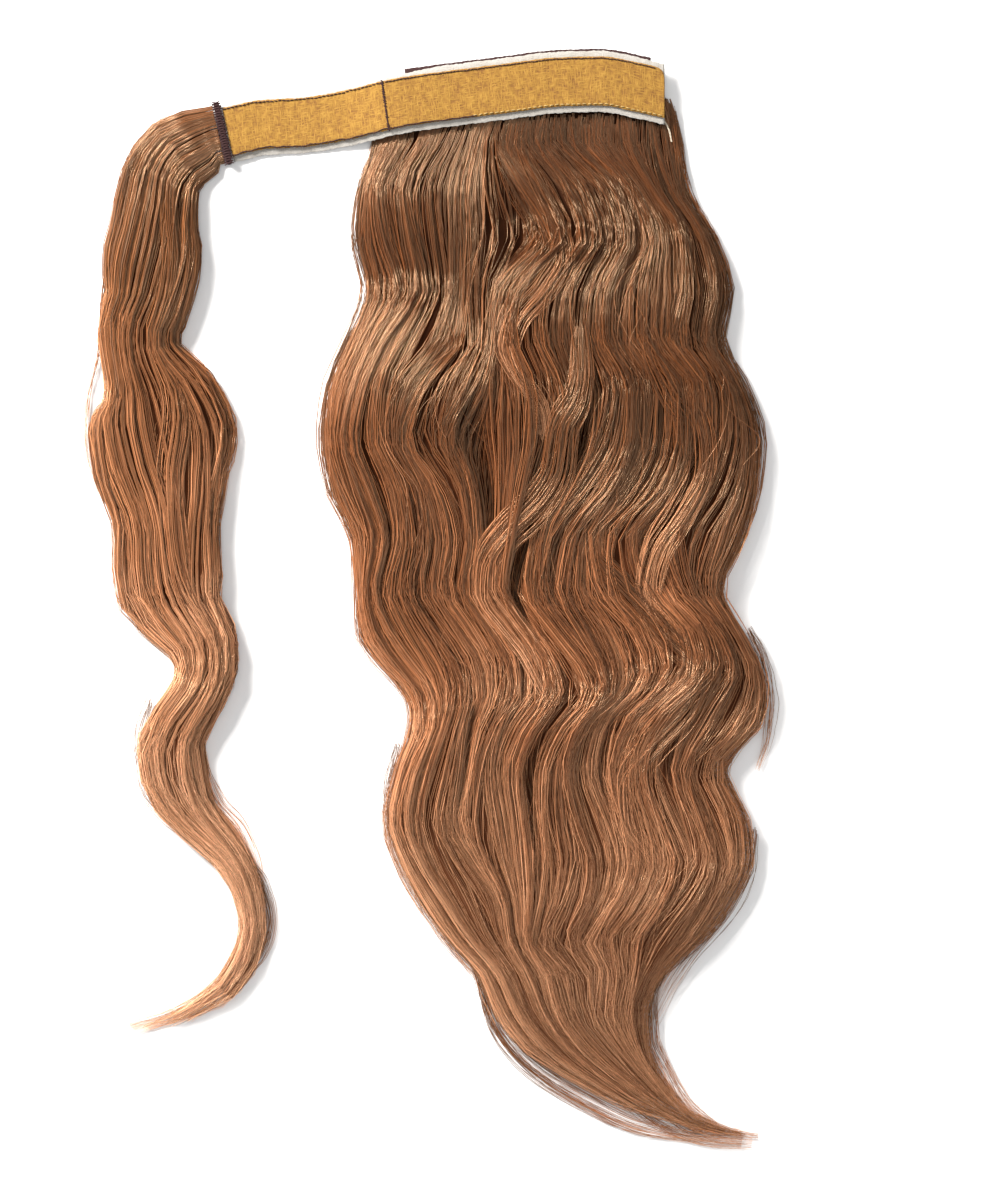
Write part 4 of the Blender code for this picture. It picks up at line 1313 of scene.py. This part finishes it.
def tape_top(along):
    """The tapes' upper edge, round at the strap's free end."""
    into = np.maximum(0.0, TAPE_CORNER - (1 - along) * STRAP_LENGTH)
    cut = TAPE_CORNER - np.sqrt(np.maximum(TAPE_CORNER**2 - into**2, 0.0))
    return TAPE_WIDTH / 2 - cut


def strap_path(start, end, sideways, height, rough, seed, count=160):
    """A path along the strap with an uneven distance from its middle."""
    along = np.linspace(start, end, count)
    aside = sideways + rough * waver(along * STRAP_LENGTH, seed, (0.007, 0.012, 0.031))
    return strap_places(along, aside, height)


class HAIRPIECE_OT_strap(bpy.types.Operator):
    """Make the strap's ribbon, loop tapes and weft edge"""

    bl_idname = "hairpiece.strap"
    bl_label = "Strap Cloth"

    def execute(self, context):
        settings = context.scene.hairpiece_strap
        tape = tape_material(settings)
        half, half_tape = BACKING_WIDTH / 2, TAPE_WIDTH / 2
        gap = GAP / STRAP_LENGTH / 2
        backing = strap_cloth(
            "backing_ribbon", 0.0, 1.0, -half, backing_top, 0.0, BACKING_THICKNESS,
            0.00035, 41, backing_material(settings),
        )
        keep(backing, "backing_cloth", "strap_backing")
        short = strap_cloth(
            "short_tape", 0.0, SEAM_SHARE - gap, -half_tape, tape_top, ON_BACKING,
            TAPE_THICKNESS, 0.00030, 45, tape,
        )
        keep(short, "loop_tape", "loop_tape_short")
        long = strap_cloth(
            "long_tape", SEAM_SHARE + gap, 1.0, -half_tape, tape_top, ON_BACKING,
            TAPE_THICKNESS, 0.00016, 49, tape,
        )
        keep(long, "loop_tape", "loop_tape_long")
        weft = strap_cloth(
            "weft_edge", 0.415, 0.965, -half * 0.6, lambda along: half + 0.0012, -0.0013, 0.001,
            0.00020, 53, thread_material("weft_edge", settings.thread_colour),
        )
        keep(weft, "weft_thread", "weft_band")
        return {"FINISHED"}


class HAIRPIECE_OT_stitches(bpy.types.Operator):
    """Make the stitches, the seam's thread and the loose thread"""

    bl_idname = "hairpiece.stitches"
    bl_label = "Stitches"

    def execute(self, context):
        settings = context.scene.hairpiece_strap
        dark = thread_material("dark_thread", settings.thread_colour)
        pale = thread_material("cream_thread", CREAM)
        tree = stitch_tree()
        half = TAPE_WIDTH / 2
        rows = [
            ("short_tape_top", 0.004, 0.360, half - 0.0009, 0.00035, 0.95, dark),
            ("short_tape_bottom", 0.004, 0.366, -half + 0.0006, 0.00050, 0.72, dark),
            ("long_tape_top", 0.372, 0.972, half - 0.0009, 0.00018, 0.85, dark),
            ("long_tape_bottom", 0.372, 0.560, -half + 0.0005, 0.00030, 0.62, dark),
            ("long_tape_hem", 0.560, 0.990, -half + 0.0009, 0.00018, 1.3, pale),
        ]
        for i, (name, start, end, aside, rough, spacing, finish) in enumerate(rows):
            path = strap_path(start, end, aside, ON_TAPE + 0.00022, rough, 60 + i)
            made = run_tree(
                chain_object(name + "_path", path), tree, name + "_stitches",
                Pitch=settings.stitch_pitch * spacing, Stitch_Length=settings.stitch_length,
                Radius=settings.thread_radius, Arch=0.00022, Unevenness=0.22, Seed=i + 1,
                Finish=finish,
            )
            keep(made, "backing_cloth" if finish == pale else "weft_thread")

        seam = strap_places(np.full(40, SEAM_SHARE), np.linspace(-half, half, 40), ON_TAPE + 0.0002)
        made = run_tree(
            chain_object("seam_path", seam), tree, "seam_stitches", Pitch=0.0009,
            Stitch_Length=0.0016, Radius=settings.thread_radius, Arch=0.00022, Turn=0.7,
            Unevenness=0.5, Seed=9, Finish=dark,
        )
        keep(made, "weft_thread")

        column, row, height = path_points(LOOSE_THREAD, STATIONS)[0].T
        path = np.stack([*photo_places(column, row), height], 1)
        guide = guide_object("loose_thread_path", path[None], np.array([0.5]), 1.0)
        loose = run_tree(
            guide, strand_tree(), "loose_thread", Strands_per_Guide=2, Spread=0.0003,
            Radius=settings.thread_radius, Tip_Share=0.8, Wander=0.0003, Frizz=0.0002, Seed=3,
            Finish=thread_material("loose_thread", LOOSE_CREAM),
        )
        keep(loose, "backing_cloth")
        return {"FINISHED"}


# The stitched band's core: rings along it, with square sides and rounded ends, and its share of
# the band's width and height
BAND_RINGS, BAND_CORNERS = 90, 24
BAND_SQUARE, BAND_END, BAND_END_SHARE = 0.45, 16, 0.35
CORE_WIDTH, CORE_HEIGHT = 0.66, 0.92
# The band's two rows of stitches: how far they are turned and how far they lie aside
BAND_ROWS = [(1.30, -0.0002), (1.84, 0.0002)]


class HAIRPIECE_OT_band(bpy.types.Operator):
    """Make the stitched band between the wrap lock and the strap"""

    bl_idname = "hairpiece.band"
    bl_label = "Stitched Band"

    def execute(self, context):
        settings = context.scene.hairpiece_strap
        finish = thread_material("band_thread", settings.thread_colour)
        share = np.linspace(-1, 1, BAND_RINGS)[:, None]
        turn = np.linspace(0, 2 * np.pi, BAND_CORNERS, endpoint=False)
        wide, high = [
            np.abs(side) ** BAND_SQUARE * np.sign(side) for side in (np.cos(turn), np.sin(turn))
        ]
        end = np.sqrt(np.maximum(1 - np.abs(share) ** BAND_END, 0.0))
        end = end * BAND_END_SHARE + 1 - BAND_END_SHARE
        along = share * BAND_LENGTH / 2
        rings = band_places(
            along, wide * BAND_WIDTH / 2 * end * CORE_WIDTH,
            BAND_HEIGHT / 2 + high * BAND_HEIGHT / 2 * end * CORE_HEIGHT,
        )
        lengths = np.broadcast_to(along, rings.shape[:2])
        core = closed_grid("band_core", rings, finish, lengths, np.zeros(rings.shape[:2]))
        keep(core, "weft_thread", "wrap_band")
        tree = stitch_tree()
        along = np.linspace(-0.97, 0.97, 60) * BAND_LENGTH / 2
        for i, (turn, aside) in enumerate(BAND_ROWS):
            made = run_tree(
                chain_object("band_path", band_places(along, aside, BAND_HEIGHT)), tree,
                f"band_stitches_{i}", Pitch=0.00125, Stitch_Length=BAND_WIDTH,
                Radius=settings.thread_radius, Arch=0.0005, Turn=turn, Unevenness=0.12,
                Seed=20 + i, Finish=finish,
            )
            keep(made, "weft_thread")
        return {"FINISHED"}


# Stage

CAMERA_HEIGHT = 2.0
SENSOR = 36.0
FLOOR_REACH = 3.0
WORLD_STRENGTH = 0.43
# Square lights, placed from the middle of the photograph's view, which they shine on
LIGHTS = [
    Light("key_light", (-1.15, 1.15, 0.95), 0.58, 98.0, (1.0, 0.97, 0.93)),
    Light("top_light", (0.1, 0.1, 1.7), 1.4, 7.0, (1.0, 1.0, 1.0)),
    Light("fill_light", (1.0, -0.5, 0.9), 0.8, 2.5, (0.95, 0.97, 1.0)),
]


def add_light(light, target):
    """A square lamp that shines on a target."""
    data = bpy.data.lights.new(light.name, "AREA")
    data.size = light.size
    data.energy = light.power
    data.color = light.tint
    made = add_object(light.name, data)
    made.location = target + Vector(light.place)
    made.rotation_euler = (target - made.location).to_track_quat("-Z", "Y").to_euler()


class HAIRPIECE_OT_stage(bpy.types.Operator):
    """Make the floor, the lights and the camera"""

    bl_idname = "hairpiece.stage"
    bl_label = "Stage"

    def execute(self, context):
        scene = context.scene
        x, y = photo_places(PHOTO_WIDE / 2, PHOTO_HIGH / 2)
        material, nodes, shader = new_material(
            "studio_paper", Roughness=0.85, Specular_IOR_Level=0.2
        )
        grain = nodes.noise(nodes.object_place(), 90.0, 3.0)
        nodes.put(shader.inputs["Base Color"], nodes.ramp(grain, PAPER_STOPS))
        corners = [(-1, -1), (1, -1), (1, 1), (-1, 1)]
        corners = [(x + i * FLOOR_REACH, y + j * FLOOR_REACH, 0) for i, j in corners]
        floor = mesh_object("studio_floor", corners, [], [(0, 1, 2, 3)], material, True)
        for light in LIGHTS:
            add_light(light, Vector((x, y, 0)))
        scene.world = bpy.data.worlds.new("studio_light")
        scene.world.use_nodes = True
        background = scene.world.node_tree.nodes["Background"]
        background.inputs["Color"].default_value = (1.0, 1.0, 1.0, 1.0)
        background.inputs["Strength"].default_value = WORLD_STRENGTH
        data = bpy.data.cameras.new("photo_camera")
        data.sensor_width = SENSOR
        data.lens = SENSOR * CAMERA_HEIGHT / (PHOTO_HIGH * PIXEL)
        scene.camera = add_object("photo_camera", data)
        scene.camera.location = (x, y, CAMERA_HEIGHT)
        scene.view_settings.view_transform = "Standard"
        return {"FINISHED"}


class HAIRPIECE_PT_panel(bpy.types.Panel):
    """The hairpiece's pieces, in the 3D view's sidebar"""

    bl_idname = "HAIRPIECE_PT_panel"
    bl_label = "Hairpiece"
    bl_space_type = "VIEW_3D"
    bl_region_type = "UI"
    bl_category = "Hairpiece"

    def draw(self, context):
        for operator in PIECES:
            self.layout.operator(operator.bl_idname)


PIECES = [
    HAIRPIECE_OT_ponytail,
    HAIRPIECE_OT_wrap,
    HAIRPIECE_OT_strap,
    HAIRPIECE_OT_stitches,
    HAIRPIECE_OT_band,
    HAIRPIECE_OT_stage,
]
CLASSES = [HairpieceHairSettings, HairpieceStrapSettings, *PIECES, HAIRPIECE_PT_panel]


def register():
    """Adds the add-on's classes and the scene's settings."""
    for made in CLASSES:
        bpy.utils.register_class(made)
    bpy.types.Scene.hairpiece_hair = bpy.props.PointerProperty(type=HairpieceHairSettings)
    bpy.types.Scene.hairpiece_strap = bpy.props.PointerProperty(type=HairpieceStrapSettings)


def unregister():
    """Takes the add-on's classes and the scene's settings away."""
    del bpy.types.Scene.hairpiece_strap
    del bpy.types.Scene.hairpiece_hair
    for made in reversed(CLASSES):
        bpy.utils.unregister_class(made)


def main():
    """Makes all pieces."""
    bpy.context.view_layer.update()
    register()
    for piece in PIECES:
        category, name = piece.bl_idname.split(".")
        getattr(getattr(bpy.ops, category), name)()


if __name__ == "__main__":
    main()
